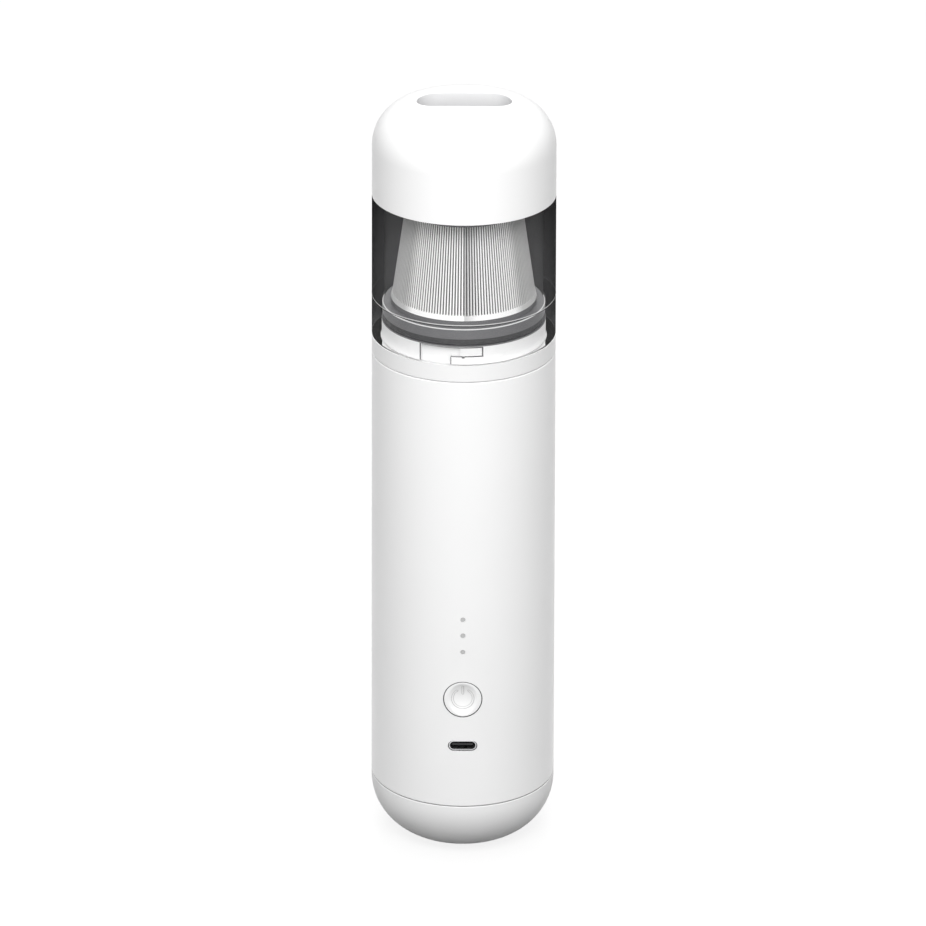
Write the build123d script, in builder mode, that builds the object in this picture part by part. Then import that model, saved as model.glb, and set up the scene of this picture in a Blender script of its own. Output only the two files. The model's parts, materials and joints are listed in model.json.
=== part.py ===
from build123d import *

import os
from math import atan, cos, degrees, radians, sin, sqrt

# Handheld vacuum cleaner that stands upright on its tail.
# Millimetres, +Z up from the centre of the flat base, the button faces -Y.
# From the base up: tail cap, body tube, collar, smoky dust cup, domed nose.

# Heights of the outer sections
TAIL_H = 20.8
BODY_H = 148.5
COLLAR_H = 5.85
CUP_H = 46.85
NOSE_H = 31.5

# Outer form: a tube that narrows a little towards the nose, which ends in a corner arc,
# a shallow shoulder arc and a level crown
TAIL_SEAM_R = 30.0
NOSE_SEAM_R = 29.1
TAIL_CORNER_R = 19.1
NOSE_CORNER_R = 14.0
NOSE_SHOULDER_R = 31.0
NOSE_SHOULDER_DEG = 19.9

# Clearances
SEAM_GAP = 0.2
SEAM_EDGE = 0.25
FIT = 0.08
RUN_GAP = 0.3
SHAFT_FIT = 0.03

# Walls and joints of the outer sections
BODY_WALL = 2.0
TAIL_WALL = 2.2
NOSE_WALL = 2.0
TAIL_SPIGOT_H = 5.2
TAIL_SPIGOT_WALL = 1.6
TAIL_SPIGOT_ROOT = 4.0
NECK_SPIGOT_H = 6.3
NECK_SPIGOT_WALL = 1.8
CUP_SPIGOT_H = 5.0
CUP_SPIGOT_WALL = 2.0
GASKET_T = 0.8
GASKET_RIB_H = 1.6
RIB_BITE = 0.4

# Nozzle slot, its moulded duct, the valve seat under it and the flap
SLOT_L = 29.8
SLOT_W = 12.6
SLOT_EDGE_R = 0.3
DUCT_WALL = 1.6
DUCT_DEPTH = 10.5
SEAT_T = 3.0
SEAT_LIP = 1.2
FLAP_T = 1.2
FLAP_LAP = 1.0
FLAP_GAP = 0.2
PIN_R = 0.8
KNUCKLE_R = 1.6
KNUCKLE_L = 17.0
EAR_T = 2.0
EAR_R = 1.9
PIN_SETBACK = 0.65

# Dust cup, lock ring and the bayonet; angles run from the front, positive towards +X
CUP_SKIRT_WALL = 2.9
CUP_STEP = 1.0
SEAT_DROP = 1.2
LOCK_RING_T = 1.5
LOCK_RING_H = 6.35
LOCK_ROOF_T = 0.5
LOCK_SHELF_H = 2.5
LOCK_COUNT = 3
ENTRY_FROM_DEG = -32.2
ENTRY_TO_DEG = -9.2
ARM_END_DEG = 13.7
LUG_FROM_DEG = -2.5
LUG_TO_DEG = 12.7
NOTCH_W = 0.9
NOTCH_D = 0.4
NOTCH_DEG = -0.3
NUB_H = 0.25

# Neck and its inlet grille
NECK_WALL = 2.0
DECK_T = 2.0
DECK_DROP = 1.3
INLET_R = 13.0
GRILLE_RINGS = [9.2, 5.2]
GRILLE_BAR = 1.0
GRILLE_HUB_R = 2.0
GRILLE_SPOKES = 6

# Filter
SEAL_T = 1.8
FLANGE_T = 3.4
FLANGE_LEDGE = 3.2
FLANGE_LIP = 4.3
FLANGE_BOSS_H = 1.7
BASE_RING_H = 1.5
BASE_RING_T = 2.0
BASE_RING_FLARE = 0.4
PLEATS = 150
CONE_NARROWING = 4.2
PLEAT_DEPTH = 1.3
PLEAT_SHEET = 0.9
MEDIA_H = 28.4
CAGE_WALL = 1.2
CAGE_WINDOWS = 6
CAGE_RING_H = 3.0
CAGE_WINDOW_W = 13.5
FILTER_CAP_T = 2.6
FILTER_CAP_LIP = 0.6

# Fan chamber and motor, from the neck down
FAN_CHAMBER_H = 14.5
FAN_DECK_T = 2.5
FAN_WALL = 1.6
PASSAGES = 6
PASSAGE_IN_R = 17.5
PASSAGE_RIM = 1.6
PASSAGE_DEG = 46.0
LEG_DEG = 22.0
LEG_T = 3.6
LEG_ANGLES = [-90.0, 30.0, 150.0]
MOTOR_R = 15.0
MOTOR_L = 33.0
CAN_WALL = 1.0
CAN_TOP_T = 1.2
BOSS_WALL = 1.0
BOSS_H = 2.2
BEARING_R = 4.0
BEARING_H = 3.0
END_CAP_T = 2.0
END_PLUG_H = 2.5
SHAFT_R = 1.5
SHAFT_TOP_GAP = 3.2
SHAFT_EDGE = 0.3
MAGNET_T = 1.65
MAGNET_DEG = 130.0
MAGNET_L = 23.0
MAGNET_RISE = 5.0
CORE_R = 11.6
CORE_L = 21.0
CORE_POLES = 5
CORE_SLOT_W = 2.6
CORE_HUB_R = 5.0
COMMUTATOR_R = 4.5
COMMUTATOR_L = 3.0
BRUSH_L = 4.0
BRUSH_W = 3.0
BRUSH_H = 2.8
MOTOR_SCREW_CIRCLE_R = 8.5
MOTOR_SCREW_R = 1.2
MOTOR_HEAD_R = 2.2
MOTOR_HEAD_H = 1.4
MOUNT_T = 2.0
MOUNT_H = 10.0
MOUNT_RISE = 6.0
MOUNT_ARM_W = 6.0

# Impeller
IMPELLER_R = 22.0
IMPELLER_LIFT = 2.2
BACKPLATE_T = 1.2
BLADES = 9
BLADE_ROOT_R = 6.5
BLADE_MID_R = 14.0
BLADE_ROOT_H = 9.0
BLADE_TIP_H = 5.0
BLADE_MID_DEG = 30.0
BLADE_TIP_DEG = 50.0
BLADE_T = 0.9
HUB_R = 4.6
HUB_H = 7.0
NUT_FLATS = 5.5
NUT_H = 1.8

# Chassis, cells and board
CHASSIS_DISC_T = 2.0
CELL_R = 9.2
CELL_L = 65.0
CELL_GAP = 0.4
CELL_Y = 5.5
CELL_RIM = 0.6
TAB_T = 0.4
TAB_W = 8.0
SPINE_T = 1.8
SPINE_W = 42.0
SADDLE_T = 3.0
SADDLE_RISES = [12.0, 52.0]
WIRE_HOLE_R = 4.2
WIRE_HOLE_SETBACK = 3.0
CHASSIS_HOLE_R = 6.0
SCREW_R = 1.0
SCREW_HEAD_R = 1.7
SCREW_HEAD_H = 1.3
SCREW_BITE = 6.0
BOARD_W = 28.0
BOARD_T = 1.6
BOARD_SETBACK = 7.7
BOARD_EDGE_GAP = 3.0
BOARD_CORNER_R = 2.0
STANDOFF_R = 2.6
STANDOFF_X = 11.0
STANDOFF_INSET = 3.5
LEAD_R = 0.6
LEAD_BEND_R = 1.8
LEAD_PAD_X = 2.0
LEAD_PAD_DROP = 8.0
LEAD_END_X = 5.0
LEAD_END_Y = -7.5
# Board components as x, z, width, height and depth
COMPONENTS = [
    (-7.0, 50.0, 7.0, 7.0, 1.2),
    (7.5, 50.0, 5.0, 5.0, 1.0),
    (-7.5, 66.0, 6.0, 6.0, 2.8),
    (7.5, 66.0, 4.0, 6.0, 1.4),
    (-6.5, 80.0, 5.0, 4.0, 1.4),
]

# Front of the body: lamps, button and charging socket
LIGHT_ZS = [76.2, 82.0, 87.6]
LIGHT_R = 0.72
LIGHT_BAR_W = 4.4
LIGHT_BAR_T = 1.8
LIGHT_BAR_END = 1.8
LAMP_W = 1.6
LAMP_H = 0.8
LAMP_T = 0.6
BUTTON_Z = 59.35
BUTTON_R = 6.12
BUTTON_GAP = 0.22
BUTTON_INSET = 0.08
BUTTON_TRAVEL = 0.6
DISH_R = 5.5
DISH_DEPTH = 1.3
BUTTON_FLANGE_R = 7.6
BUTTON_FLANGE_T = 1.2
BUTTON_FLANGE_GAP = 0.65
BUTTON_ROD_R = 1.5
SWITCH_W = 6.0
SWITCH_T = 2.0
PLUNGER_R = 1.7
PLUNGER_PROUD = 1.0
PLUNGER_SUNK = 0.4
SOCKET_Z = 42.8
SOCKET_CUT_W = 9.5
SOCKET_CUT_H = 3.6
SOCKET_W = 8.94
SOCKET_H = 3.26
SOCKET_WALL = 0.3
SOCKET_RECESS = 0.55
TONGUE_W = 6.7
TONGUE_T = 0.7
TONGUE_RECESS = 0.9
INSERT_T = 1.8

# Air outlet on the back of the body
OUTLET_ANGLES = [66.0, 90.0, 114.0]
OUTLET_ROWS = 8
OUTLET_PITCH = 3.6
OUTLET_W = 9.0
OUTLET_H = 1.6
OUTLET_DROP = 34.0
FOAM_T = 1.2
FOAM_DEG = 88.0
FOAM_MARGIN = 3.0

# Heights and radii that follow from the sizes above
tail_seam_z = TAIL_H
body_top_z = tail_seam_z + BODY_H
collar_top_z = body_top_z + COLLAR_H
nose_seam_z = collar_top_z + CUP_H
nose_top_z = nose_seam_z + NOSE_H
cup_foot_z = collar_top_z + RUN_GAP
spigot_top_z = nose_seam_z + CUP_SPIGOT_H
duct_foot_z = nose_top_z - DUCT_DEPTH
seat_foot_z = duct_foot_z - SEAT_T
pin_z = seat_foot_z - FLAP_GAP - KNUCKLE_R
pin_y = SLOT_W / 2 + DUCT_WALL + PIN_SETBACK


side_lean = (TAIL_SEAM_R - NOSE_SEAM_R) / (nose_seam_z - tail_seam_z)


def outer_r(z):
    """Outer radius of the whole tube at height z."""
    return TAIL_SEAM_R - side_lean * (z - tail_seam_z)


side_deg = degrees(atan(side_lean))
arc_step = NOSE_SHOULDER_R - NOSE_CORNER_R
arch_z = nose_top_z - NOSE_SHOULDER_R
corner_z = arch_z + arc_step * cos(radians(NOSE_SHOULDER_DEG))
corner_x = outer_r(corner_z) - NOSE_CORNER_R / cos(radians(side_deg))
crown_r = corner_x - arc_step * sin(radians(NOSE_SHOULDER_DEG))

body_bore_r = min(outer_r(tail_seam_z), outer_r(body_top_z)) - BODY_WALL
stack_r = body_bore_r - FIT
skirt_bore_r = min(outer_r(cup_foot_z), outer_r(nose_seam_z)) - CUP_SKIRT_WALL
cup_bore_r = skirt_bore_r - CUP_STEP
cup_spigot_r = cup_bore_r + CUP_SPIGOT_WALL
lock_out_r = skirt_bore_r - FIT
lock_in_r = lock_out_r - LOCK_RING_T
lock_foot_z = cup_foot_z - SEAT_DROP
lock_top_z = lock_foot_z + LOCK_RING_H
roof_z = lock_top_z - LOCK_ROOF_T
shelf_z = lock_foot_z + LOCK_SHELF_H
neck_r = lock_in_r - RUN_GAP
neck_bore_r = neck_r - NECK_WALL
neck_top_z = lock_top_z + RUN_GAP
deck_foot_z = body_top_z - DECK_DROP
neck_spigot_foot_z = body_top_z - NECK_SPIGOT_H

flange_foot_z = neck_top_z + SEAL_T
flange_top_z = flange_foot_z + FLANGE_T
flange_boss_z = flange_top_z + FLANGE_BOSS_H
base_ring_top_z = flange_boss_z + BASE_RING_H
media_top_z = base_ring_top_z + MEDIA_H
flange_r = skirt_bore_r - RUN_GAP
pleat_base_r = flange_r - FLANGE_LEDGE
pleat_top_r = pleat_base_r - CONE_NARROWING
flange_bore_r = pleat_base_r - FLANGE_LIP
shoulder_z = flange_top_z + RUN_GAP

fan_deck_top_z = deck_foot_z - FAN_CHAMBER_H
fan_deck_foot_z = fan_deck_top_z - FAN_DECK_T
can_foot_z = fan_deck_foot_z - MOTOR_L
can_bore_r = MOTOR_R - CAN_WALL
end_cap_foot_z = can_foot_z - END_CAP_T
plug_top_z = can_foot_z + END_PLUG_H
lower_bearing_z = plug_top_z - BEARING_H
upper_bearing_z = fan_deck_foot_z - CAN_TOP_T
impeller_foot_z = fan_deck_top_z + IMPELLER_LIFT
backplate_top_z = impeller_foot_z + BACKPLATE_T

chassis_foot_z = tail_seam_z + TAIL_SPIGOT_H
cell_foot_z = chassis_foot_z + CHASSIS_DISC_T + TAB_T
cell_top_z = cell_foot_z + CELL_L
chassis_disc_z = cell_top_z + TAB_T
chassis_top_z = chassis_disc_z + CHASSIS_DISC_T
cell_x = CELL_R + CELL_GAP / 2
spine_back_y = CELL_Y - CELL_R - 2 * FIT
spine_front_y = spine_back_y - SPINE_T
board_face_y = BOARD_SETBACK - body_bore_r
board_back_y = board_face_y + BOARD_T
wire_hole_y = board_back_y + WIRE_HOLE_SETBACK
board_foot_z = chassis_foot_z + CHASSIS_DISC_T + BOARD_EDGE_GAP
board_top_z = chassis_disc_z - BOARD_EDGE_GAP
board_mid_z = (board_foot_z + board_top_z) / 2
standoff_rise = (board_top_z - board_foot_z) / 2 - STANDOFF_INSET
passage_out_r = stack_r - FAN_WALL - PASSAGE_RIM
leg_in_r = stack_r - LEG_T
button_flange_y = BUTTON_FLANGE_GAP - sqrt(body_bore_r**2 - BUTTON_FLANGE_R**2)
chassis_screw_r = stack_r - LEG_T / 2
outlet_mid_z = body_top_z - OUTLET_DROP

os.makedirs("parts", exist_ok=True)


def save(builder, name):
    """Label a finished piece and write it."""
    builder.part.label = name
    export_step(builder.part, f"parts/{name}.step")


def turned(points, mode=Mode.ADD):
    """Turn a closed outline of (radius, height) points about the main axis."""
    with BuildSketch(Plane.XZ) as outline:
        with BuildLine():
            Polyline(*points, close=True)
        make_face()
    revolve(outline.sketch, axis=Axis.Z, mode=mode)


def tube(inner, outer, foot, top, mode=Mode.ADD):
    """A plain ring, or a disc when inner is zero."""
    turned([(inner, foot), (outer, foot), (outer, top), (inner, top)], mode)


def sector(inner, outer, foot, top, middle_deg, width_deg, mode=Mode.ADD):
    """A ring sector whose middle lies at middle_deg, counted from +X."""
    start = middle_deg - width_deg / 2
    with BuildSketch(Plane.XY.offset(foot)) as outline:
        with BuildLine():
            far = CenterArc((0, 0), outer, start, width_deg)
            near = CenterArc((0, 0), inner, start, width_deg)
            Line(near @ 0, far @ 0)
            Line(near @ 1, far @ 1)
        make_face()
    extrude(outline.sketch, amount=top - foot, mode=mode)


def from_front(from_deg, to_deg, turn):
    """Middle, counted from +X, and width of a span given from the front, after a turn."""
    return (from_deg + to_deg) / 2 - 90 + turn, to_deg - from_deg


def polar(radius, degrees_from_x):
    """A point on a circle."""
    angle = radians(degrees_from_x)
    return radius * cos(angle), radius * sin(angle)


def front_plane(y):
    """A plane square to the front, facing out towards -Y, at the given y."""
    return Plane.XZ.offset(-y)


# Tail cap: the domed foot, its flat base and the spigot that enters the body tube
with BuildPart() as tail_cap:
    for inset, mode in ((0, Mode.ADD), (TAIL_WALL, Mode.SUBTRACT)):
        with BuildSketch(Plane.XZ) as dome:
            with BuildLine():
                Polyline(
                    (0, inset),
                    (outer_r(0) - inset, inset),
                    (outer_r(tail_seam_z) - inset, tail_seam_z - SEAM_EDGE),
                    (outer_r(tail_seam_z) - inset - SEAM_EDGE, tail_seam_z),
                    (0, tail_seam_z),
                    close=True,
                )
            make_face()
            corner = dome.vertices().group_by(Axis.Y)[0].sort_by(Axis.X)[-1]
            fillet(corner, TAIL_CORNER_R - inset)
        revolve(axis=Axis.Z, mode=mode)
    spigot_in_r = stack_r - TAIL_SPIGOT_WALL
    turned(
        [
            (spigot_in_r, tail_seam_z - TAIL_SPIGOT_ROOT),
            (TAIL_SEAM_R - TAIL_WALL / 2, tail_seam_z - TAIL_SPIGOT_ROOT),
            (TAIL_SEAM_R - TAIL_WALL / 2, tail_seam_z),
            (stack_r, tail_seam_z),
            (stack_r, chassis_foot_z),
            (spigot_in_r, chassis_foot_z),
        ]
    )
save(tail_cap, "tail_cap")

# Body tube with the button hole, the light holes, the socket cut-out and the air outlet
with BuildPart() as body_shell:
    shell_foot_z = tail_seam_z + SEAM_GAP
    turned(
        [
            (body_bore_r, shell_foot_z),
            (outer_r(shell_foot_z) - SEAM_EDGE, shell_foot_z),
            (outer_r(shell_foot_z), shell_foot_z + SEAM_EDGE),
            (outer_r(body_top_z), body_top_z - SEAM_EDGE),
            (outer_r(body_top_z) - SEAM_EDGE, body_top_z),
            (body_bore_r, body_top_z),
        ]
    )
    with BuildSketch(front_plane(-body_bore_r / 2)):
        with Locations((0, BUTTON_Z)):
            Circle(BUTTON_R + BUTTON_GAP)
        with Locations([(0, z) for z in LIGHT_ZS]):
            Circle(LIGHT_R + FIT)
        with Locations((0, SOCKET_Z)):
            SlotOverall(SOCKET_CUT_W, SOCKET_CUT_H)
    extrude(amount=TAIL_SEAM_R, mode=Mode.SUBTRACT)
    for angle in OUTLET_ANGLES:
        outward = Vector(*polar(1, angle), 0)
        outlet_plane = Plane((0, 0, 0), x_dir=(-outward.Y, outward.X, 0), z_dir=outward)
        with BuildSketch(outlet_plane.offset(body_bore_r / 2)):
            with Locations((0, outlet_mid_z)):
                with GridLocations(0, OUTLET_PITCH, 1, OUTLET_ROWS):
                    SlotOverall(OUTLET_W, OUTLET_H)
        extrude(amount=TAIL_SEAM_R, mode=Mode.SUBTRACT)
save(body_shell, "body_shell")

# Foam behind the air outlet
with BuildPart() as exhaust_foam:
    foam_half_h = (OUTLET_ROWS - 1) / 2 * OUTLET_PITCH + FOAM_MARGIN
    sector(
        stack_r - FOAM_T,
        stack_r,
        outlet_mid_z - foam_half_h,
        outlet_mid_z + foam_half_h,
        OUTLET_ANGLES[1],
        FOAM_DEG,
    )
save(exhaust_foam, "exhaust_foam")

# Collar: trim ring, conical seat for the cup, neck with the bayonet lugs, deck with the grille
with BuildPart() as neck_collar:
    collar_foot_z = body_top_z + SEAM_GAP
    spigot_in_r = stack_r - NECK_SPIGOT_WALL
    turned(
        [
            (INLET_R, deck_foot_z),
            (spigot_in_r, deck_foot_z),
            (spigot_in_r, neck_spigot_foot_z),
            (stack_r, neck_spigot_foot_z),
            (stack_r, collar_foot_z),
            (outer_r(collar_foot_z) - SEAM_EDGE, collar_foot_z),
            (outer_r(collar_foot_z), collar_foot_z + SEAM_EDGE),
            (outer_r(collar_top_z), collar_top_z),
            (skirt_bore_r, collar_top_z - SEAT_DROP),
            (neck_r, collar_top_z - SEAT_DROP),
            (neck_r, neck_top_z),
            (neck_bore_r, neck_top_z),
            (neck_bore_r, deck_foot_z + DECK_T),
            (INLET_R, deck_foot_z + DECK_T),
        ]
    )
    lug_r = skirt_bore_r - RUN_GAP
    lug_foot_z = shelf_z + RUN_GAP
    for turn in range(0, 360, 360 // LOCK_COUNT):
        middle, width = from_front(LUG_FROM_DEG, LUG_TO_DEG, turn)
        sector(neck_bore_r, lug_r, lug_foot_z, roof_z - RUN_GAP, middle, width)
        nub_x, nub_y = polar(lug_r - LOCK_RING_T / 2, NOTCH_DEG - 90 + turn)
        with BuildSketch(Plane.XY.offset(lug_foot_z - NUB_H)):
            with Locations((nub_x, nub_y)):
                Circle(NOTCH_W / 2)
        extrude(amount=2 * NUB_H)
    with BuildSketch(Plane.XY.offset(deck_foot_z)):
        for ring in GRILLE_RINGS:
            Circle(ring + GRILLE_BAR / 2)
            Circle(ring - GRILLE_BAR / 2, mode=Mode.SUBTRACT)
        Circle(GRILLE_HUB_R)
        with PolarLocations(INLET_R / 2, GRILLE_SPOKES):
            Rectangle(INLET_R + GRILLE_BAR, GRILLE_BAR)
    extrude(amount=DECK_T)
save(neck_collar, "neck_collar")

# Dust cup: clear tube with a skirt over the lock ring and a spigot into the nose
with BuildPart() as dust_cup:
    turned(
        [
            (skirt_bore_r, cup_foot_z - SEAT_DROP),
            (outer_r(cup_foot_z), cup_foot_z),
            (outer_r(nose_seam_z), nose_seam_z),
            (cup_spigot_r, nose_seam_z),
            (cup_spigot_r, spigot_top_z),
            (cup_bore_r, spigot_top_z),
            (cup_bore_r, shoulder_z),
            (skirt_bore_r, shoulder_z),
        ]
    )
save(dust_cup, "dust_cup")

# Lock ring: L-shaped slots, open at the foot, each with a detent notch in its shelf
with BuildPart() as lock_ring:
    tube(lock_in_r, lock_out_r, lock_foot_z, lock_top_z)
    cut_in_r = lock_in_r - LOCK_RING_T
    cut_out_r = lock_out_r + LOCK_RING_T
    for turn in range(0, 360, 360 // LOCK_COUNT):
        middle, width = from_front(ENTRY_FROM_DEG, ENTRY_TO_DEG, turn)
        entry_foot_z = lock_foot_z - LOCK_RING_T
        sector(cut_in_r, cut_out_r, entry_foot_z, roof_z, middle, width, Mode.SUBTRACT)
        middle, width = from_front(ENTRY_FROM_DEG, ARM_END_DEG, turn)
        sector(cut_in_r, cut_out_r, shelf_z, roof_z, middle, width, Mode.SUBTRACT)
        notch_x, notch_y = polar(lock_out_r, NOTCH_DEG - 90 + turn)
        with BuildSketch(Plane.XY.offset(shelf_z - NOTCH_D)):
            with Locations(Location((notch_x, notch_y, 0), (0, 0, NOTCH_DEG + turn))):
                Rectangle(NOTCH_W, 3 * LOCK_RING_T)
        extrude(amount=2 * NOTCH_D, mode=Mode.SUBTRACT)
save(lock_ring, "lock_ring")

# Gasket between the cup's spigot and the rib inside the nose
with BuildPart() as nose_gasket:
    tube(cup_bore_r + FIT, cup_spigot_r - FIT, spigot_top_z, spigot_top_z + GASKET_T)
save(nose_gasket, "nose_gasket")

# Nose cap: domed shell with the nozzle slot and its moulded duct
with BuildPart() as nose_cap:
    for inset, mode in ((0, Mode.ADD), (NOSE_WALL, Mode.SUBTRACT)):
        foot_z = nose_seam_z + SEAM_GAP / 2 - inset
        corner_r = NOSE_CORNER_R - inset
        shoulder_r = NOSE_SHOULDER_R - inset
        rise_deg = 90 - NOSE_SHOULDER_DEG
        with BuildSketch(Plane.XZ):
            with BuildLine():
                corner = CenterArc((corner_x, corner_z), corner_r, side_deg, rise_deg - side_deg)
                shoulder = CenterArc((crown_r, arch_z), shoulder_r, rise_deg, NOSE_SHOULDER_DEG)
                Polyline(
                    shoulder @ 1,
                    (0, nose_top_z - inset),
                    (0, foot_z),
                    (outer_r(foot_z) - inset, foot_z),
                    corner @ 0,
                )
            make_face()
        revolve(axis=Axis.Z, mode=mode)
    rib_foot_z = spigot_top_z + GASKET_T
    rib_out_r = outer_r(rib_foot_z) - NOSE_WALL + RIB_BITE
    tube(cup_bore_r + FIT, rib_out_r, rib_foot_z, rib_foot_z + GASKET_RIB_H)
    tube(0, cup_spigot_r + FIT, nose_seam_z, spigot_top_z + GASKET_T, Mode.SUBTRACT)
    with BuildSketch(Plane.XY.offset(duct_foot_z)):
        SlotOverall(SLOT_L + 2 * DUCT_WALL, SLOT_W + 2 * DUCT_WALL)
    duct_end_x = SLOT_L / 2 + DUCT_WALL
    dip = max(duct_end_x - crown_r, 0)
    duct_top_z = arch_z + sqrt(NOSE_SHOULDER_R**2 - dip**2) - NOSE_WALL / 2
    extrude(amount=duct_top_z - duct_foot_z)
    with BuildSketch(Plane.XY.offset(duct_foot_z)):
        SlotOverall(SLOT_L, SLOT_W)
    extrude(amount=2 * DUCT_DEPTH, mode=Mode.SUBTRACT)
    rim_low_z = duct_top_z + NOSE_WALL / 2
    rim_reach = SLOT_W / 2 + SLOT_EDGE_R
    slot_rim = nose_cap.edges().filter_by_position(Axis.Z, rim_low_z, nose_top_z)
    slot_rim = slot_rim.filter_by_position(Axis.Y, -rim_reach, rim_reach)
    fillet(slot_rim, SLOT_EDGE_R)
save(nose_cap, "nose_cap")

# Valve seat: frame under the duct, with the two ears that hold the flap's pin
with BuildPart() as valve_seat:
    ear_x = KNUCKLE_L / 2 + RUN_GAP
    ear_w = 2 * (ear_x + EAR_T)
    rail_back_y = pin_y + EAR_R
    rail_w = rail_back_y - SLOT_W / 2
    with BuildSketch(Plane.XY.offset(seat_foot_z)):
        SlotOverall(SLOT_L + 2 * DUCT_WALL, SLOT_W + 2 * DUCT_WALL)
        with Locations((0, rail_back_y - rail_w / 2)):
            Rectangle(ear_w, rail_w)
        SlotOverall(SLOT_L - 2 * SEAT_LIP, SLOT_W - 2 * SEAT_LIP, mode=Mode.SUBTRACT)
    extrude(amount=SEAT_T)
    for side in (-1, 1):
        with BuildSketch(Plane.YZ.offset(side * (ear_x + EAR_T / 2))):
            with Locations((pin_y, pin_z)):
                Circle(EAR_R)
            with Locations((pin_y, (pin_z + seat_foot_z) / 2)):
                Rectangle(2 * EAR_R, seat_foot_z - pin_z)
        extrude(amount=EAR_T / 2, both=True)
    with BuildSketch(Plane.YZ):
        with Locations((pin_y, pin_z)):
            Circle(PIN_R + SHAFT_FIT)
    extrude(amount=ear_w, both=True, mode=Mode.SUBTRACT)
save(valve_seat, "valve_seat")

# Pin of the flap
with BuildPart() as flap_pin:
    with BuildSketch(Plane.YZ):
        with Locations((pin_y, pin_z)):
            Circle(PIN_R)
    extrude(amount=ear_x + EAR_T, both=True)
save(flap_pin, "flap_pin")

# Flap: oval leaf that closes the valve seat from below
with BuildPart() as inlet_flap:
    leaf_l = SLOT_L - 2 * SEAT_LIP + 2 * FLAP_LAP
    leaf_w = SLOT_W - 2 * SEAT_LIP + 2 * FLAP_LAP
    leaf_foot_z = seat_foot_z - FLAP_GAP - FLAP_T
    with BuildSketch(Plane.XY.offset(leaf_foot_z)):
        SlotOverall(leaf_l, leaf_w)
        with Locations((0, pin_y / 2)):
            Rectangle(KNUCKLE_L, pin_y)
    extrude(amount=FLAP_T)
    with BuildSketch(Plane.YZ):
        with Locations((pin_y, pin_z)):
            Circle(KNUCKLE_R)
    extrude(amount=KNUCKLE_L / 2, both=True)
    with BuildSketch(Plane.YZ):
        with Locations((pin_y, pin_z)):
            Circle(PIN_R + SHAFT_FIT)
    extrude(amount=KNUCKLE_L, both=True, mode=Mode.SUBTRACT)
save(inlet_flap, "inlet_flap")

# Filter seal between the neck and the filter's flange
with BuildPart() as filter_seal:
    tube(neck_bore_r, flange_r, neck_top_z, flange_foot_z)
save(filter_seal, "filter_seal")

# Filter flange, the plate that the cup's shoulder holds down, with the boss that carries the cone
with BuildPart() as filter_flange:
    tube(flange_bore_r, flange_r, flange_foot_z, flange_top_z)
    top_rim = filter_flange.edges().group_by(Axis.Z)[-1].sort_by(SortBy.RADIUS)[-1]
    chamfer(top_rim, SEAM_EDGE)
    tube(flange_bore_r, pleat_base_r + FIT + BASE_RING_FLARE, flange_top_z, flange_boss_z)
save(filter_flange, "filter_flange")

# White ring that holds the foot of the pleats
with BuildPart() as filter_base_ring:
    ring_top_r = pleat_base_r + FIT
    ring_bore_r = pleat_base_r - BASE_RING_T
    turned(
        [
            (ring_bore_r, flange_boss_z),
            (ring_top_r + BASE_RING_FLARE, flange_boss_z),
            (ring_top_r, base_ring_top_z),
            (ring_bore_r, base_ring_top_z),
        ]
    )
save(filter_base_ring, "filter_base_ring")


def pleat_points(crest_r, inset=0):
    """Zigzag of the folds around a circle, for crests at crest_r, moved inwards by inset."""
    depth = PLEAT_DEPTH * crest_r / pleat_base_r
    step = 180 / PLEATS
    return [polar(crest_r - inset - depth * (i % 2), i * step) for i in range(2 * PLEATS)]


# Pleated cone: one folded sheet, each fold a flat facet that runs to the cone's apex
with BuildPart() as filter_media:
    for crest_r, level in ((pleat_base_r, base_ring_top_z), (pleat_top_r, media_top_z)):
        sheet = PLEAT_SHEET * crest_r / pleat_base_r
        with BuildSketch(Plane.XY.offset(level)):
            with BuildLine():
                Polyline(*pleat_points(crest_r), close=True)
            make_face()
            with BuildLine():
                Polyline(*pleat_points(crest_r, sheet), close=True)
            make_face(mode=Mode.SUBTRACT)
    loft(ruled=True)
save(filter_media, "filter_media")

# Cage that keeps the cone open against the suction
with BuildPart() as filter_cage:
    inner_share = 1 - (PLEAT_DEPTH + PLEAT_SHEET + 2 * FIT) / pleat_base_r
    cage_base_r = pleat_base_r * inner_share
    cage_top_r = pleat_top_r * inner_share
    turned(
        [
            (cage_base_r - CAGE_WALL, flange_boss_z),
            (cage_base_r, flange_boss_z),
            (cage_base_r, base_ring_top_z),
            (cage_top_r, media_top_z),
            (cage_top_r - CAGE_WALL, media_top_z),
            (cage_base_r - CAGE_WALL, base_ring_top_z),
        ]
    )
    window_h = media_top_z - base_ring_top_z - 2 * CAGE_RING_H
    for index in range(CAGE_WINDOWS):
        outward = Vector(*polar(1, index * 360 / CAGE_WINDOWS), 0)
        window_plane = Plane((0, 0, 0), x_dir=(-outward.Y, outward.X, 0), z_dir=outward)
        with BuildSketch(window_plane):
            with Locations((0, (base_ring_top_z + media_top_z) / 2)):
                Rectangle(CAGE_WINDOW_W, window_h)
        extrude(amount=pleat_base_r, mode=Mode.SUBTRACT)
save(filter_cage, "filter_cage")

# Cap that closes the narrow end of the filter
with BuildPart() as filter_cap:
    tube(0, pleat_top_r + FILTER_CAP_LIP, media_top_z, media_top_z + FILTER_CAP_T)
    cap_rim = filter_cap.edges().group_by(Axis.Z)[-1]
    fillet(cap_rim, FILTER_CAP_LIP)
save(filter_cap, "filter_cap")

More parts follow.
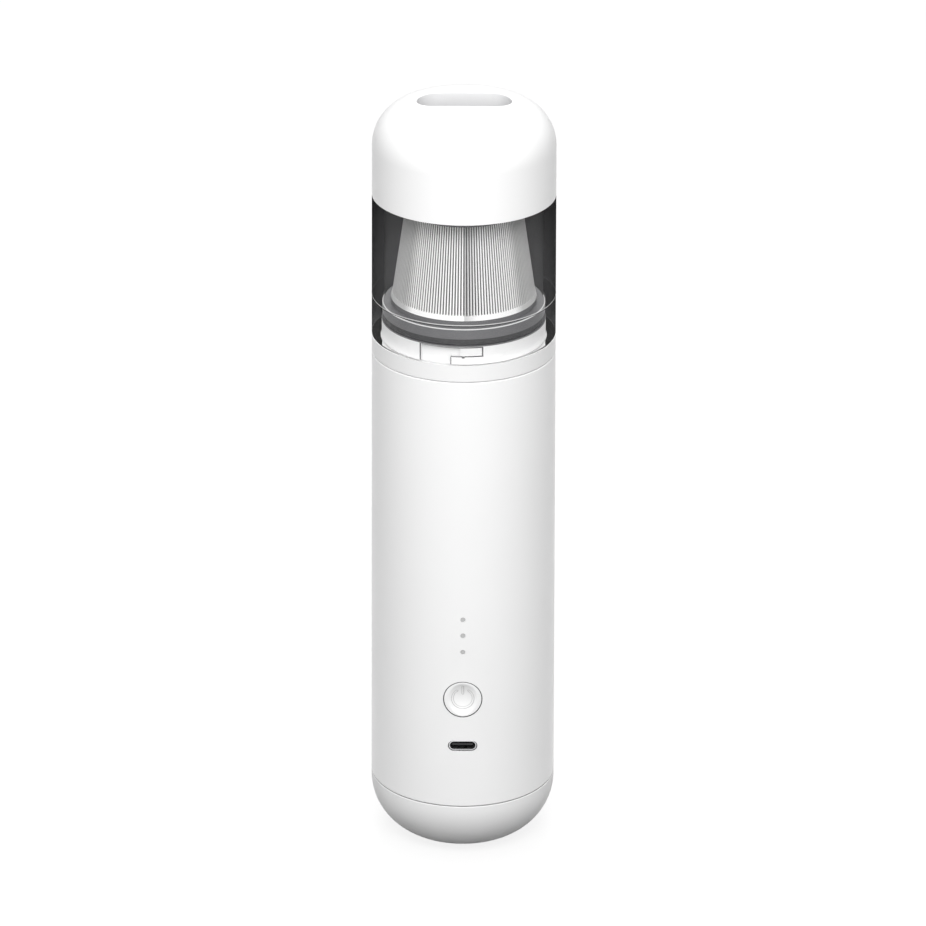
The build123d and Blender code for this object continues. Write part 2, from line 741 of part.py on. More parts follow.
# Fan housing: chamber wall, stator deck with the air passages, three legs down to the chassis
with BuildPart() as fan_housing:
    tube(stack_r - FAN_WALL, stack_r, fan_deck_foot_z, neck_spigot_foot_z)
    tube(0, stack_r - FAN_WALL / 2, fan_deck_foot_z, fan_deck_top_z)
    tube(0, BEARING_R + BOSS_WALL + 2 * FIT, fan_deck_foot_z, fan_deck_top_z, Mode.SUBTRACT)
    for index in range(PASSAGES):
        middle = index * 360 / PASSAGES
        sector(
            PASSAGE_IN_R,
            passage_out_r,
            fan_deck_foot_z,
            fan_deck_top_z,
            middle,
            PASSAGE_DEG,
            Mode.SUBTRACT,
        )
    for angle in LEG_ANGLES:
        sector(leg_in_r, stack_r, chassis_top_z, fan_deck_foot_z, angle, LEG_DEG)
    with BuildSketch(Plane.XY.offset(fan_deck_foot_z)):
        with PolarLocations(MOTOR_SCREW_CIRCLE_R, 2):
            Circle(MOTOR_SCREW_R + FIT)
    extrude(amount=FAN_DECK_T, mode=Mode.SUBTRACT)
    with BuildSketch(Plane.XY.offset(chassis_top_z)):
        for angle in LEG_ANGLES:
            with Locations(polar(chassis_screw_r, angle)):
                Circle(SCREW_R + FIT)
    extrude(amount=SCREW_BITE + FIT, mode=Mode.SUBTRACT)
save(fan_housing, "fan_housing")

# Motor can with the upper bearing's boss
with BuildPart() as motor_can:
    boss_r = BEARING_R + BOSS_WALL
    turned(
        [
            (can_bore_r, can_foot_z),
            (MOTOR_R, can_foot_z),
            (MOTOR_R, fan_deck_foot_z),
            (boss_r, fan_deck_foot_z),
            (boss_r, fan_deck_foot_z + BOSS_H),
            (BEARING_R + SHAFT_FIT, fan_deck_foot_z + BOSS_H),
            (BEARING_R + SHAFT_FIT, upper_bearing_z),
            (can_bore_r, upper_bearing_z),
        ]
    )
    with BuildSketch(Plane.XY.offset(upper_bearing_z)):
        with PolarLocations(MOTOR_SCREW_CIRCLE_R, 2):
            Circle(MOTOR_SCREW_R + FIT)
    extrude(amount=CAN_TOP_T, mode=Mode.SUBTRACT)
save(motor_can, "motor_can")

# Motor end cap with the lower bearing's seat
with BuildPart() as motor_end_cap:
    turned(
        [
            (SHAFT_R + RUN_GAP, end_cap_foot_z),
            (MOTOR_R, end_cap_foot_z),
            (MOTOR_R, can_foot_z),
            (can_bore_r - FIT, can_foot_z),
            (can_bore_r - FIT, plug_top_z),
            (BEARING_R + SHAFT_FIT, plug_top_z),
            (BEARING_R + SHAFT_FIT, lower_bearing_z),
            (SHAFT_R + RUN_GAP, lower_bearing_z),
        ]
    )
save(motor_end_cap, "motor_end_cap")

# Bearings
with BuildPart() as upper_bearing:
    tube(SHAFT_R + SHAFT_FIT, BEARING_R, upper_bearing_z, upper_bearing_z + BEARING_H)
save(upper_bearing, "upper_bearing")

with BuildPart() as lower_bearing:
    tube(SHAFT_R + SHAFT_FIT, BEARING_R, lower_bearing_z, plug_top_z)
save(lower_bearing, "lower_bearing")

# Magnets: two curved blocks inside the can
with BuildPart() as motor_magnets:
    magnet_foot_z = can_foot_z + MAGNET_RISE
    for angle in (0, 180):
        sector(
            can_bore_r - FIT - MAGNET_T,
            can_bore_r - FIT,
            magnet_foot_z,
            magnet_foot_z + MAGNET_L,
            angle,
            MAGNET_DEG,
        )
save(motor_magnets, "motor_magnets")

# Brushes: two carbon blocks beside the commutator
with BuildPart() as motor_brushes:
    brush_x = COMMUTATOR_R + FIT + BRUSH_L / 2
    with BuildSketch(Plane.XY.offset(plug_top_z)):
        with Locations((-brush_x, 0), (brush_x, 0)):
            Rectangle(BRUSH_L, BRUSH_W)
    extrude(amount=BRUSH_H)
save(motor_brushes, "motor_brushes")

# Rubber mount: sleeve on the can with three arms to the legs
with BuildPart() as motor_mount:
    mount_foot_z = can_foot_z + MOUNT_RISE
    arm_end = leg_in_r - FIT
    arm_start = MOTOR_R + MOUNT_T / 2
    with BuildSketch(Plane.XY.offset(mount_foot_z)):
        Circle(MOTOR_R + FIT + MOUNT_T)
        for angle in LEG_ANGLES:
            with Locations(Location((*polar((arm_start + arm_end) / 2, angle), 0), (0, 0, angle))):
                Rectangle(arm_end - arm_start, MOUNT_ARM_W)
        Circle(MOTOR_R + FIT, mode=Mode.SUBTRACT)
    extrude(amount=MOUNT_H)
    tube(arm_end, stack_r, mount_foot_z, mount_foot_z + MOUNT_H, Mode.SUBTRACT)
save(motor_mount, "motor_mount")

# Motor screws, down through the stator deck into the can
with BuildPart() as motor_screws:
    with BuildSketch(Plane.XY.offset(fan_deck_top_z)):
        with PolarLocations(MOTOR_SCREW_CIRCLE_R, 2):
            Circle(MOTOR_HEAD_R)
    extrude(amount=MOTOR_HEAD_H)
    with BuildSketch(Plane.XY.offset(upper_bearing_z)):
        with PolarLocations(MOTOR_SCREW_CIRCLE_R, 2):
            Circle(MOTOR_SCREW_R)
    extrude(amount=fan_deck_top_z - upper_bearing_z)
save(motor_screws, "motor_screws")

# Shaft
with BuildPart() as motor_shaft:
    shaft_foot_z = lower_bearing_z + RUN_GAP
    shaft_top_z = deck_foot_z - SHAFT_TOP_GAP
    tube(0, SHAFT_R, shaft_foot_z, shaft_top_z)
    chamfer(motor_shaft.edges().group_by(Axis.Z)[-1], SHAFT_EDGE)
save(motor_shaft, "motor_shaft")

# Armature: slotted core on the shaft
with BuildPart() as rotor_core:
    core_foot_z = magnet_foot_z + (MAGNET_L - CORE_L) / 2
    with BuildSketch(Plane.XY.offset(core_foot_z)):
        Circle(CORE_R)
        with PolarLocations((CORE_R + CORE_HUB_R) / 2, CORE_POLES):
            SlotOverall(CORE_R - CORE_HUB_R + CORE_SLOT_W, CORE_SLOT_W, mode=Mode.SUBTRACT)
        Circle(SHAFT_R, mode=Mode.SUBTRACT)
    extrude(amount=CORE_L)
save(rotor_core, "rotor_core")

# Commutator under the core
with BuildPart() as commutator:
    tube(SHAFT_R, COMMUTATOR_R, core_foot_z - COMMUTATOR_L, core_foot_z)
save(commutator, "commutator")

# Impeller: back plate, hub and backward-curved blades, lower towards the rim
with BuildPart() as impeller:
    tube(SHAFT_R, IMPELLER_R, impeller_foot_z, backplate_top_z)
    tube(SHAFT_R, HUB_R, backplate_top_z, backplate_top_z + HUB_H)
    with BuildSketch(Plane.XY.offset(backplate_top_z)):
        for index in range(BLADES):
            start = index * 360 / BLADES
            with BuildLine():
                front = ThreePointArc(
                    polar(BLADE_ROOT_R, start),
                    polar(BLADE_MID_R, start + BLADE_MID_DEG),
                    polar(IMPELLER_R, start + BLADE_TIP_DEG),
                )
                back = ThreePointArc(
                    polar(BLADE_ROOT_R, start + degrees(BLADE_T / BLADE_ROOT_R)),
                    polar(BLADE_MID_R, start + BLADE_MID_DEG + degrees(BLADE_T / BLADE_MID_R)),
                    polar(IMPELLER_R, start + BLADE_TIP_DEG + degrees(BLADE_T / IMPELLER_R)),
                )
                Line(front @ 0, back @ 0)
                Line(front @ 1, back @ 1)
            make_face()
    extrude(amount=BLADE_ROOT_H)
    turned(
        [
            (BLADE_ROOT_R, backplate_top_z + BLADE_ROOT_H),
            (IMPELLER_R + BLADE_T, backplate_top_z + BLADE_TIP_H),
            (IMPELLER_R + BLADE_T, backplate_top_z + 2 * BLADE_ROOT_H),
            (BLADE_ROOT_R, backplate_top_z + 2 * BLADE_ROOT_H),
        ],
        mode=Mode.SUBTRACT,
    )
save(impeller, "impeller")

# Nut that holds the impeller on the shaft
with BuildPart() as impeller_nut:
    with BuildSketch(Plane.XY.offset(backplate_top_z + HUB_H)):
        RegularPolygon(NUT_FLATS / 2, 6, major_radius=False)
        Circle(SHAFT_R, mode=Mode.SUBTRACT)
    extrude(amount=NUT_H)
save(impeller_nut, "impeller_nut")

# Chassis: two discs, the spine between them, saddles round the cells, standoffs for the board
with BuildPart() as chassis:
    tube(0, stack_r - FIT, chassis_foot_z, chassis_foot_z + CHASSIS_DISC_T)
    tube(0, stack_r - FIT, chassis_disc_z, chassis_top_z)
    tube(0, CHASSIS_HOLE_R, chassis_foot_z, chassis_foot_z + CHASSIS_DISC_T, Mode.SUBTRACT)
    spine_foot_z = chassis_foot_z + CHASSIS_DISC_T
    with BuildSketch(Plane.XY.offset(spine_foot_z)):
        with Locations((0, (spine_front_y + spine_back_y) / 2)):
            Rectangle(SPINE_W, SPINE_T)
    extrude(amount=chassis_disc_z - spine_foot_z)
    for rise in SADDLE_RISES:
        with BuildSketch(Plane.XY.offset(cell_foot_z + rise)):
            with Locations((0, (spine_back_y + CELL_Y) / 2)):
                Rectangle(SPINE_W, CELL_Y - spine_back_y)
            with Locations((-cell_x, CELL_Y), (cell_x, CELL_Y)):
                Circle(CELL_R + FIT, mode=Mode.SUBTRACT)
        extrude(amount=SADDLE_T)
    with BuildSketch(front_plane(spine_front_y)):
        with Locations((0, board_mid_z)):
            with GridLocations(2 * STANDOFF_X, 2 * standoff_rise, 2, 2):
                Circle(STANDOFF_R)
    extrude(amount=spine_front_y - board_back_y)
    with BuildSketch(front_plane(board_back_y)):
        with Locations((0, board_mid_z)):
            with GridLocations(2 * STANDOFF_X, 2 * standoff_rise, 2, 2):
                Circle(SCREW_R + FIT)
    extrude(amount=-(SCREW_BITE + FIT), mode=Mode.SUBTRACT)
    with BuildSketch(Plane.XY.offset(chassis_disc_z)):
        for angle in LEG_ANGLES:
            with Locations(polar(chassis_screw_r, angle)):
                Circle(SCREW_R + FIT)
        with Locations((0, wire_hole_y)):
            Circle(WIRE_HOLE_R)
    extrude(amount=CHASSIS_DISC_T, mode=Mode.SUBTRACT)
save(chassis, "chassis")

# Chassis screws, up through the upper disc into the legs
with BuildPart() as chassis_screws:
    with BuildSketch(Plane.XY.offset(chassis_disc_z - SCREW_HEAD_H)):
        for angle in LEG_ANGLES:
            with Locations(polar(chassis_screw_r, angle)):
                Circle(SCREW_HEAD_R)
    extrude(amount=SCREW_HEAD_H)
    with BuildSketch(Plane.XY.offset(chassis_disc_z)):
        for angle in LEG_ANGLES:
            with Locations(polar(chassis_screw_r, angle)):
                Circle(SCREW_R)
    extrude(amount=CHASSIS_DISC_T + SCREW_BITE)
save(chassis_screws, "chassis_screws")

# Two cells side by side, each with the small step of its rim
for side, name in ((-1, "cell_left"), (1, "cell_right")):
    with BuildPart() as cell:
        with BuildSketch(Plane.XY.offset(cell_foot_z)):
            with Locations((side * cell_x, CELL_Y)):
                Circle(CELL_R)
        extrude(amount=CELL_L)
        chamfer(cell.edges().filter_by(GeomType.CIRCLE), CELL_RIM)
    save(cell, name)

# Tabs that join the cells at both ends
with BuildPart() as cell_tabs:
    for level in (cell_foot_z - TAB_T, cell_top_z):
        with BuildSketch(Plane.XY.offset(level)):
            with Locations((0, CELL_Y)):
                SlotOverall(2 * cell_x + TAB_W, TAB_W)
        extrude(amount=TAB_T)
save(cell_tabs, "cell_tabs")

# Circuit board
with BuildPart() as control_board:
    with BuildSketch(front_plane(board_back_y)):
        with Locations((0, board_mid_z)):
            RectangleRounded(BOARD_W, board_top_z - board_foot_z, BOARD_CORNER_R)
            with GridLocations(2 * STANDOFF_X, 2 * standoff_rise, 2, 2):
                Circle(SCREW_R + FIT, mode=Mode.SUBTRACT)
    extrude(amount=BOARD_T)
save(control_board, "control_board")

# Board screws
with BuildPart() as board_screws:
    with BuildSketch(front_plane(board_face_y)):
        with Locations((0, board_mid_z)):
            with GridLocations(2 * STANDOFF_X, 2 * standoff_rise, 2, 2):
                Circle(SCREW_HEAD_R)
    extrude(amount=SCREW_HEAD_H)
    with BuildSketch(front_plane(board_face_y)):
        with Locations((0, board_mid_z)):
            with GridLocations(2 * STANDOFF_X, 2 * standoff_rise, 2, 2):
                Circle(SCREW_R)
    extrude(amount=-(BOARD_T + SCREW_BITE))
save(board_screws, "board_screws")

# Components: control chip, charger chip, coil and driver on the front of the board
with BuildPart() as board_components:
    for x, z, width, height, depth in COMPONENTS:
        with BuildSketch(front_plane(board_face_y)):
            with Locations((x, z)):
                Rectangle(width, height)
        extrude(amount=depth)
save(board_components, "board_components")

# Three lamps on the board behind the light guide
with BuildPart() as indicator_lamps:
    with BuildSketch(front_plane(board_face_y)):
        with Locations([(0, z) for z in LIGHT_ZS]):
            Rectangle(LAMP_W, LAMP_H)
    extrude(amount=LAMP_T)
save(indicator_lamps, "indicator_lamps")

# Light guide: three pins in the body's holes, joined by a bar
with BuildPart() as light_guide:
    pin_back_y = board_face_y - LAMP_T - FIT
    bar_foot_z = LIGHT_ZS[0] - LIGHT_BAR_END
    bar_top_z = LIGHT_ZS[-1] + LIGHT_BAR_END
    bar_front_y = -sqrt(stack_r**2 - (LIGHT_BAR_W / 2) ** 2) + RUN_GAP
    for z in LIGHT_ZS:
        with BuildSketch(front_plane(pin_back_y)):
            with Locations((0, z)):
                Circle(LIGHT_R)
        extrude(amount=outer_r(z) - FIT + pin_back_y)
    with BuildSketch(front_plane(bar_front_y)):
        with Locations((0, (bar_foot_z + bar_top_z) / 2)):
            RectangleRounded(LIGHT_BAR_W, bar_top_z - bar_foot_z, LIGHT_BAR_END / 2)
    extrude(amount=-LIGHT_BAR_T)
save(light_guide, "light_guide")

# Power button: dished face that follows the body, flange behind the wall, rod to the switch
with BuildPart() as power_button:
    face_r = outer_r(BUTTON_Z) - BUTTON_INSET
    with BuildSketch(front_plane(button_flange_y)):
        with Locations((0, BUTTON_Z)):
            Circle(BUTTON_R)
    extrude(amount=TAIL_SEAM_R)
    tube(face_r, 3 * TAIL_SEAM_R, 0, 2 * BUTTON_Z, Mode.SUBTRACT)
    dish_ball_r = (DISH_R**2 + DISH_DEPTH**2) / (2 * DISH_DEPTH)
    with Locations((0, DISH_DEPTH - face_r - dish_ball_r, BUTTON_Z)):
        Sphere(dish_ball_r, mode=Mode.SUBTRACT)
    with BuildSketch(front_plane(button_flange_y)):
        with Locations((0, BUTTON_Z)):
            Circle(BUTTON_FLANGE_R)
    extrude(amount=-BUTTON_FLANGE_T)
    rod_end_y = board_face_y - SWITCH_T - PLUNGER_PROUD
    with BuildSketch(front_plane(rod_end_y)):
        with Locations((0, BUTTON_Z)):
            Circle(BUTTON_ROD_R)
    extrude(amount=rod_end_y - button_flange_y)
save(power_button, "power_button")

# Switch body on the board, and its plunger that the button pushes
with BuildPart() as switch_body:
    with BuildSketch(front_plane(board_face_y)):
        with Locations((0, BUTTON_Z)):
            Rectangle(SWITCH_W, SWITCH_W)
    extrude(amount=SWITCH_T)
    with BuildSketch(front_plane(board_face_y - SWITCH_T)):
        with Locations((0, BUTTON_Z)):
            Circle(PLUNGER_R + FIT)
    extrude(amount=-(PLUNGER_SUNK + BUTTON_TRAVEL + RUN_GAP), mode=Mode.SUBTRACT)
save(switch_body, "switch_body")

with BuildPart() as switch_plunger:
    with BuildSketch(front_plane(rod_end_y)):
        with Locations((0, BUTTON_Z)):
            Circle(PLUNGER_R)
    extrude(amount=-(PLUNGER_PROUD + PLUNGER_SUNK))
save(switch_plunger, "switch_plunger")

# Charging socket: drawn metal shell and the black insert with its tongue
socket_front_y = -(outer_r(SOCKET_Z) - SOCKET_RECESS)
with BuildPart() as socket_shell:
    with BuildSketch(front_plane(board_face_y)):
        with Locations((0, SOCKET_Z)):
            SlotOverall(SOCKET_W, SOCKET_H)
            SlotOverall(
                SOCKET_W - 2 * SOCKET_WALL, SOCKET_H - 2 * SOCKET_WALL, mode=Mode.SUBTRACT
            )
    extrude(amount=board_face_y - socket_front_y)
save(socket_shell, "socket_shell")

with BuildPart() as socket_insert:
    insert_w = SOCKET_W - 2 * (SOCKET_WALL + FIT)
    insert_h = SOCKET_H - 2 * (SOCKET_WALL + FIT)
    with BuildSketch(front_plane(board_face_y)):
        with Locations((0, SOCKET_Z)):
            SlotOverall(insert_w, insert_h)
    extrude(amount=INSERT_T)
    with BuildSketch(front_plane(board_face_y)):
        with Locations((0, SOCKET_Z)):
            Rectangle(TONGUE_W, TONGUE_T)
    extrude(amount=board_face_y - socket_front_y - TONGUE_RECESS)
save(socket_insert, "socket_insert")

# Motor leads: from the back of the board, through the upper disc, to the motor's end cap
with BuildPart() as motor_leads:
    lead_y = board_back_y + LEAD_R + FIT
    lead_rise = (end_cap_foot_z - chassis_top_z) / 3
    for side in (-1, 1):
        with BuildLine() as route:
            FilletPolyline(
                (side * LEAD_PAD_X, lead_y, board_top_z - LEAD_PAD_DROP),
                (side * LEAD_PAD_X, lead_y, chassis_top_z + lead_rise),
                (side * LEAD_END_X, LEAD_END_Y, end_cap_foot_z - lead_rise),
                (side * LEAD_END_X, LEAD_END_Y, end_cap_foot_z),
                radius=LEAD_BEND_R,
            )
        with BuildSketch(route.line ^ 0):
            Circle(LEAD_R)
        sweep(path=route.line)
save(motor_leads, "motor_leads")
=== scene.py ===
import json
from math import cos, pi, radians, sin, tan

import bpy
import numpy as np
from mathutils import Matrix, Vector


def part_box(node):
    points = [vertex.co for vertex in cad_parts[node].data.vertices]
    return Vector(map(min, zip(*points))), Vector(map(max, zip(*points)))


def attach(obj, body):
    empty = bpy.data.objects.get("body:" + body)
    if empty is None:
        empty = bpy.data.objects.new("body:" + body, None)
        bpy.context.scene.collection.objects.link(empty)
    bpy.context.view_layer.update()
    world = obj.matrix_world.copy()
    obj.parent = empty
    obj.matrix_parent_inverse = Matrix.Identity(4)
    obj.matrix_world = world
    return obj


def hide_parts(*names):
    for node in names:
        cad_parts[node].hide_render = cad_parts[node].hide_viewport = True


# Looks of a slim handheld vacuum cleaner that stands on its tail: white tube, smoky dust cup, domed nose.
# All lengths are in metres, and MM turns a size in millimetres into them. The front faces -Y.
MM = 0.001

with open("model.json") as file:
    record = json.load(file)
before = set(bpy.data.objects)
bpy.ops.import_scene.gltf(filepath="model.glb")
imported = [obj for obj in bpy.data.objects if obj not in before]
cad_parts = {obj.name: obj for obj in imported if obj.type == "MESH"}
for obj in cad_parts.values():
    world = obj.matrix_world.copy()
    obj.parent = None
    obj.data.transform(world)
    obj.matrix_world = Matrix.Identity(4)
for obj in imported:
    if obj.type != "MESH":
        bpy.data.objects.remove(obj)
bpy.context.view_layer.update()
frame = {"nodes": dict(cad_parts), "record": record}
nodes = frame["nodes"]


# Shapes


def grid_faces(rows, columns, row_ring=False, column_ring=False):
    """Quads between neighbouring points of a grid, as index rows; a ring joins the last line to the first."""
    i = np.arange(rows if row_ring else rows - 1)
    j = np.arange(columns if column_ring else columns - 1)
    i, j = [a.ravel() for a in np.meshgrid(i, j, indexing="ij")]
    up, right = (i + 1) % rows, (j + 1) % columns
    return np.stack([i * columns + j, i * columns + right, up * columns + right, up * columns + j], 1)


def make_piece(name, points, faces, materials, body, instead_of, face_slots=None, sharp_deg=35):
    """Smooth closed mesh from points and faces, which rides on its body in place of its CAD node."""
    mesh = bpy.data.meshes.new(name)
    mesh.from_pydata(points.reshape(-1, 3).tolist(), [], faces if isinstance(faces, list) else faces.tolist())
    for material in materials:
        mesh.materials.append(material)
    mesh.polygons.foreach_set("use_smooth", np.ones(len(mesh.polygons), bool))
    if face_slots is not None:
        mesh.polygons.foreach_set("material_index", face_slots.astype(np.int32))
    mesh.update()
    mesh.set_sharp_from_angle(angle=radians(sharp_deg))
    piece = bpy.data.objects.new(name, mesh)
    bpy.context.scene.collection.objects.link(piece)
    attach(piece, body)
    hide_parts(instead_of)
    return piece


def rounded(corners, hold=0.12 * MM, steps=6):
    """Profile through corners (radius, height, fillet): each fillet is an arc tangent to both runs,
    with a point held on each run just outside it, so that shading stays flat on the runs."""
    path = []
    count = len(corners)
    for index, (r, z, fillet) in enumerate(corners):
        here = np.array([r, z])
        before = here - np.array(corners[index - 1][:2])
        after = np.array(corners[(index + 1) % count][:2]) - here
        before_len, after_len = np.linalg.norm(before), np.linalg.norm(after)
        before, after = before / before_len, after / after_len
        if fillet == 0:
            path.append(here)
            continue
        turn = np.arctan2(before[0] * after[1] - before[1] * after[0], before @ after)
        reach = fillet * tan(abs(turn) / 2)
        side = np.array([-before[1], before[0]]) * np.sign(turn)
        start = here - before * reach
        centre = start + side * fillet
        path.append(start - before * min(hold, before_len / 4))
        spoke = start - centre
        for step in range(steps + 1):
            a = turn * step / steps
            turned = (spoke[0] * cos(a) - spoke[1] * sin(a), spoke[0] * sin(a) + spoke[1] * cos(a))
            path.append(centre + np.array(turned))
        path.append(here + after * (reach + min(hold, after_len / 4)))
    return np.array(path)


def turned_ring(profile, segments):
    """Closed profile of (radius, height) turned about the main axis: one row for each profile point."""
    angle = np.arange(segments) * 2 * pi / segments
    r, z = profile[:, :1], profile[:, 1:]
    return np.stack([r * np.cos(angle), r * np.sin(angle), z + 0 * angle], 2)


def smooth_step(value, low, high):
    """0 below low, 1 above high and a smooth cubic in between."""
    t = np.clip((value - low) / (high - low), 0, 1)
    return t * t * (3 - 2 * t)


# Materials


class Paint:
    """A node material on one Principled shader, with helpers that add its detail."""

    def __init__(self, name, colour, roughness, metallic=0.0):
        self.material = bpy.data.materials.new(name)
        self.material.use_nodes = True
        self.tree = self.material.node_tree
        self.shader = self.tree.nodes["Principled BSDF"]
        self.colour = colour
        self.shader.inputs["Base Color"].default_value = (*colour, 1)
        self.shader.inputs["Roughness"].default_value = roughness
        self.shader.inputs["Metallic"].default_value = metallic
        self.place = self.node("ShaderNodeTexCoord").outputs["Object"]
        self.normal = None

    def node(self, kind, **values):
        """A node of that kind; each keyword sets the input socket of that name, or its link."""
        made = self.tree.nodes.new(kind)
        for key, value in values.items():
            self.set(made.inputs[key.replace("_", " ")], value)
        return made

    def set(self, socket, value):
        """Give a socket a link, a number or a colour."""
        if isinstance(value, bpy.types.NodeSocket):
            self.tree.links.new(value, socket)
        elif isinstance(value, tuple) and len(value) < len(socket.default_value):
            socket.default_value = (*value, 1)
        else:
            socket.default_value = value

    def calc(self, operation, *values):
        """One math step on numbers or links."""
        made = self.tree.nodes.new("ShaderNodeMath")
        made.operation = operation
        for socket, value in zip(made.inputs, values):
            self.set(socket, value)
        return made.outputs[0]

    def both(self, first, second):
        """Product of two shares: what lies in both."""
        return self.calc("MULTIPLY", first, second)

    def either(self, first, second):
        """The larger of two shares."""
        return self.calc("MAXIMUM", first, second)

    def scaled(self, x, y, z, shift=(0, 0, 0)):
        """Object coordinates scaled along each axis, then shifted."""
        mapping = self.node("ShaderNodeMapping", Vector=self.place)
        mapping.inputs["Scale"].default_value = (x, y, z)
        mapping.inputs["Location"].default_value = shift
        return mapping.outputs["Vector"]

    def along(self, letter):
        """Position of the point along the axis of that letter."""
        return self.node("ShaderNodeSeparateXYZ", Vector=self.place).outputs[letter]

    def length(self, vector):
        """Length of a vector."""
        made = self.tree.nodes.new("ShaderNodeVectorMath")
        made.operation = "LENGTH"
        self.tree.links.new(vector, made.inputs[0])
        return made.outputs["Value"]

    def radius(self):
        """Distance of the point from the main axis."""
        return self.length(self.scaled(1, 1, 0))

    def bearing(self):
        """Angle of the point about the main axis: 0 at the front, positive to the right."""
        return self.calc("ARCTAN2", self.along("X"), self.calc("MULTIPLY", self.along("Y"), -1.0))

    def off_slot(self, length, width, other):
        """Distance of the point from the middle line of a level slot with round ends, where other is
        its distance across the slot."""
        out = self.calc("SUBTRACT", self.calc("ABSOLUTE", self.along("X")), (length - width) / 2)
        squares = [self.calc("POWER", value, 2.0) for value in (self.calc("MAXIMUM", out, 0.0), other)]
        return self.calc("SQRT", self.calc("ADD", *squares))

    def noise(self, scale, detail=3.0, vector=None):
        """Fractal noise with that many cells per metre."""
        made = self.node("ShaderNodeTexNoise", Vector=vector or self.place, Scale=scale, Detail=detail)
        return made.outputs["Fac"]

    def ramp(self, value, low, high, dark, light):
        """Map a value between low and high to between dark and light, and hold it outside."""
        made = self.node("ShaderNodeMapRange", Value=value)
        for key, number in (("From Min", low), ("From Max", high), ("To Min", dark), ("To Max", light)):
            made.inputs[key].default_value = number
        return made.outputs["Result"]

    def between(self, value, low, high, blur):
        """1 between low and high, 0 outside, with soft edges."""
        rise = self.ramp(value, low - blur, low + blur, 0.0, 1.0)
        return self.calc("MULTIPLY", rise, self.ramp(value, high - blur, high + blur, 1.0, 0.0))

    def mix(self, factor, first, second):
        """Colour mix; first and second are colours or links."""
        made = self.tree.nodes.new("ShaderNodeMix")
        made.data_type = "RGBA"
        for index, value in ((0, factor), (6, first), (7, second)):
            self.set(made.inputs[index], value)
        return made.outputs[2]

    def tint(self, share, colour):
        """Lay a colour over the base colour by a share."""
        socket = self.shader.inputs["Base Color"]
        under = socket.links[0].from_socket if socket.is_linked else tuple(socket.default_value)
        self.tree.links.new(self.mix(share, under, colour), socket)
        return self

    def vary(self, scale, amount, vector=None):
        """Cloud the base colour by a share of itself, up and down."""
        shade = self.ramp(self.noise(scale, 4.0, vector), 0.3, 0.7, 0.0, 1.0)
        dark = tuple(c * (1 - amount) for c in self.colour)
        light = tuple(min(1, c * (1 + amount)) for c in self.colour)
        self.tree.links.new(self.mix(shade, dark, light), self.shader.inputs["Base Color"])
        return self

    def wear(self, scale, low, high):
        """Let the roughness wander between low and high."""
        value = self.ramp(self.noise(scale, 5.0), 0.35, 0.65, low, high)
        self.tree.links.new(value, self.shader.inputs["Roughness"])
        return self

    def bump(self, height, distance):
        """Add a bump of that depth, in metres, over any bump already there."""
        made = self.node("ShaderNodeBump", Height=height, Distance=distance)
        if self.normal:
            self.tree.links.new(self.normal, made.inputs["Normal"])
        self.normal = made.outputs["Normal"]
        self.tree.links.new(self.normal, self.shader.inputs["Normal"])
        return self

    def grain(self, scale, distance):
        """Fine moulded texture."""
        return self.bump(self.noise(scale, 2.0), distance)


def moulded(name, colour, roughness, grain=0.004 * MM, spread=0.03, coat=0.0):
    """Moulded plastic: nearly even colour, satin skin with a fine spark-eroded grain."""
    paint = Paint(name, colour, roughness)
    paint.vary(35, spread).wear(220, roughness - 0.05, roughness + 0.06).grain(5200, grain)
    paint.shader.inputs["IOR"].default_value = 1.5
    paint.shader.inputs["Coat Weight"].default_value = coat
    paint.shader.inputs["Coat Roughness"].default_value = 0.3
    return paint


def rubber(name, colour):
    """Soft black or grey rubber with a dusty, uneven skin."""
    paint = Paint(name, colour, 0.62)
    return paint.vary(160, 0.18).wear(400, 0.55, 0.74).grain(6500, 0.01 * MM)


def bare_metal(name, colour, roughness, along=(1, 1, 30)):
    """Bare metal with fine lines across one axis."""
    paint = Paint(name, colour, roughness, metallic=1.0)
    lines = paint.noise(900, 3.0, paint.scaled(*along))
    return paint.vary(90, 0.06).wear(700, roughness - 0.07, roughness + 0.1).bump(lines, 0.004 * MM)


def open_foam(name, colour):
    """Open-cell foam: round pores between thin walls."""
    paint = Paint(name, colour, 0.95)
    pores = paint.node("ShaderNodeTexVoronoi", Vector=paint.place, Scale=1400.0)
    return paint.vary(900, 0.3).bump(paint.ramp(pores.outputs["Distance"], 0.0, 0.6, 0.0, 1.0), 0.3 * MM)


def stacked_sheets(name, colour):
    """Stacked steel sheets: thin dark lines at an even pitch up the core."""
    paint = bare_metal(name, colour, 0.42)
    wave = paint.node("ShaderNodeTexWave", Vector=paint.place, Scale=620.0)
    wave.bands_direction = "Z"
    return paint.bump(wave.outputs["Fac"], 0.03 * MM)


def circuit_board(name, colour, copper):
    """Coated board: a maze of paler tracks under green lacquer."""
    paint = Paint(name, colour, 0.35)
    cells = paint.node("ShaderNodeTexVoronoi", Vector=paint.place, Scale=620.0)
    cells.distance = "CHEBYCHEV"
    cells.feature = "F2"
    track = paint.ramp(cells.outputs["Distance"], 0.55, 0.6, 0.0, 1.0)
    return paint.tint(track, copper).bump(track, 0.03 * MM).grain(4000, 0.004 * MM)


def wrapped_cell(name, colour):
    """Shrink sleeve on a metal can: glossy, with shallow wrinkles round the ends."""
    paint = Paint(name, colour, 0.28)
    wrinkles = paint.noise(260, 4.0, paint.scaled(1, 1, 0.25))
    return paint.vary(60, 0.08).wear(300, 0.22, 0.36).bump(wrinkles, 0.05 * MM)


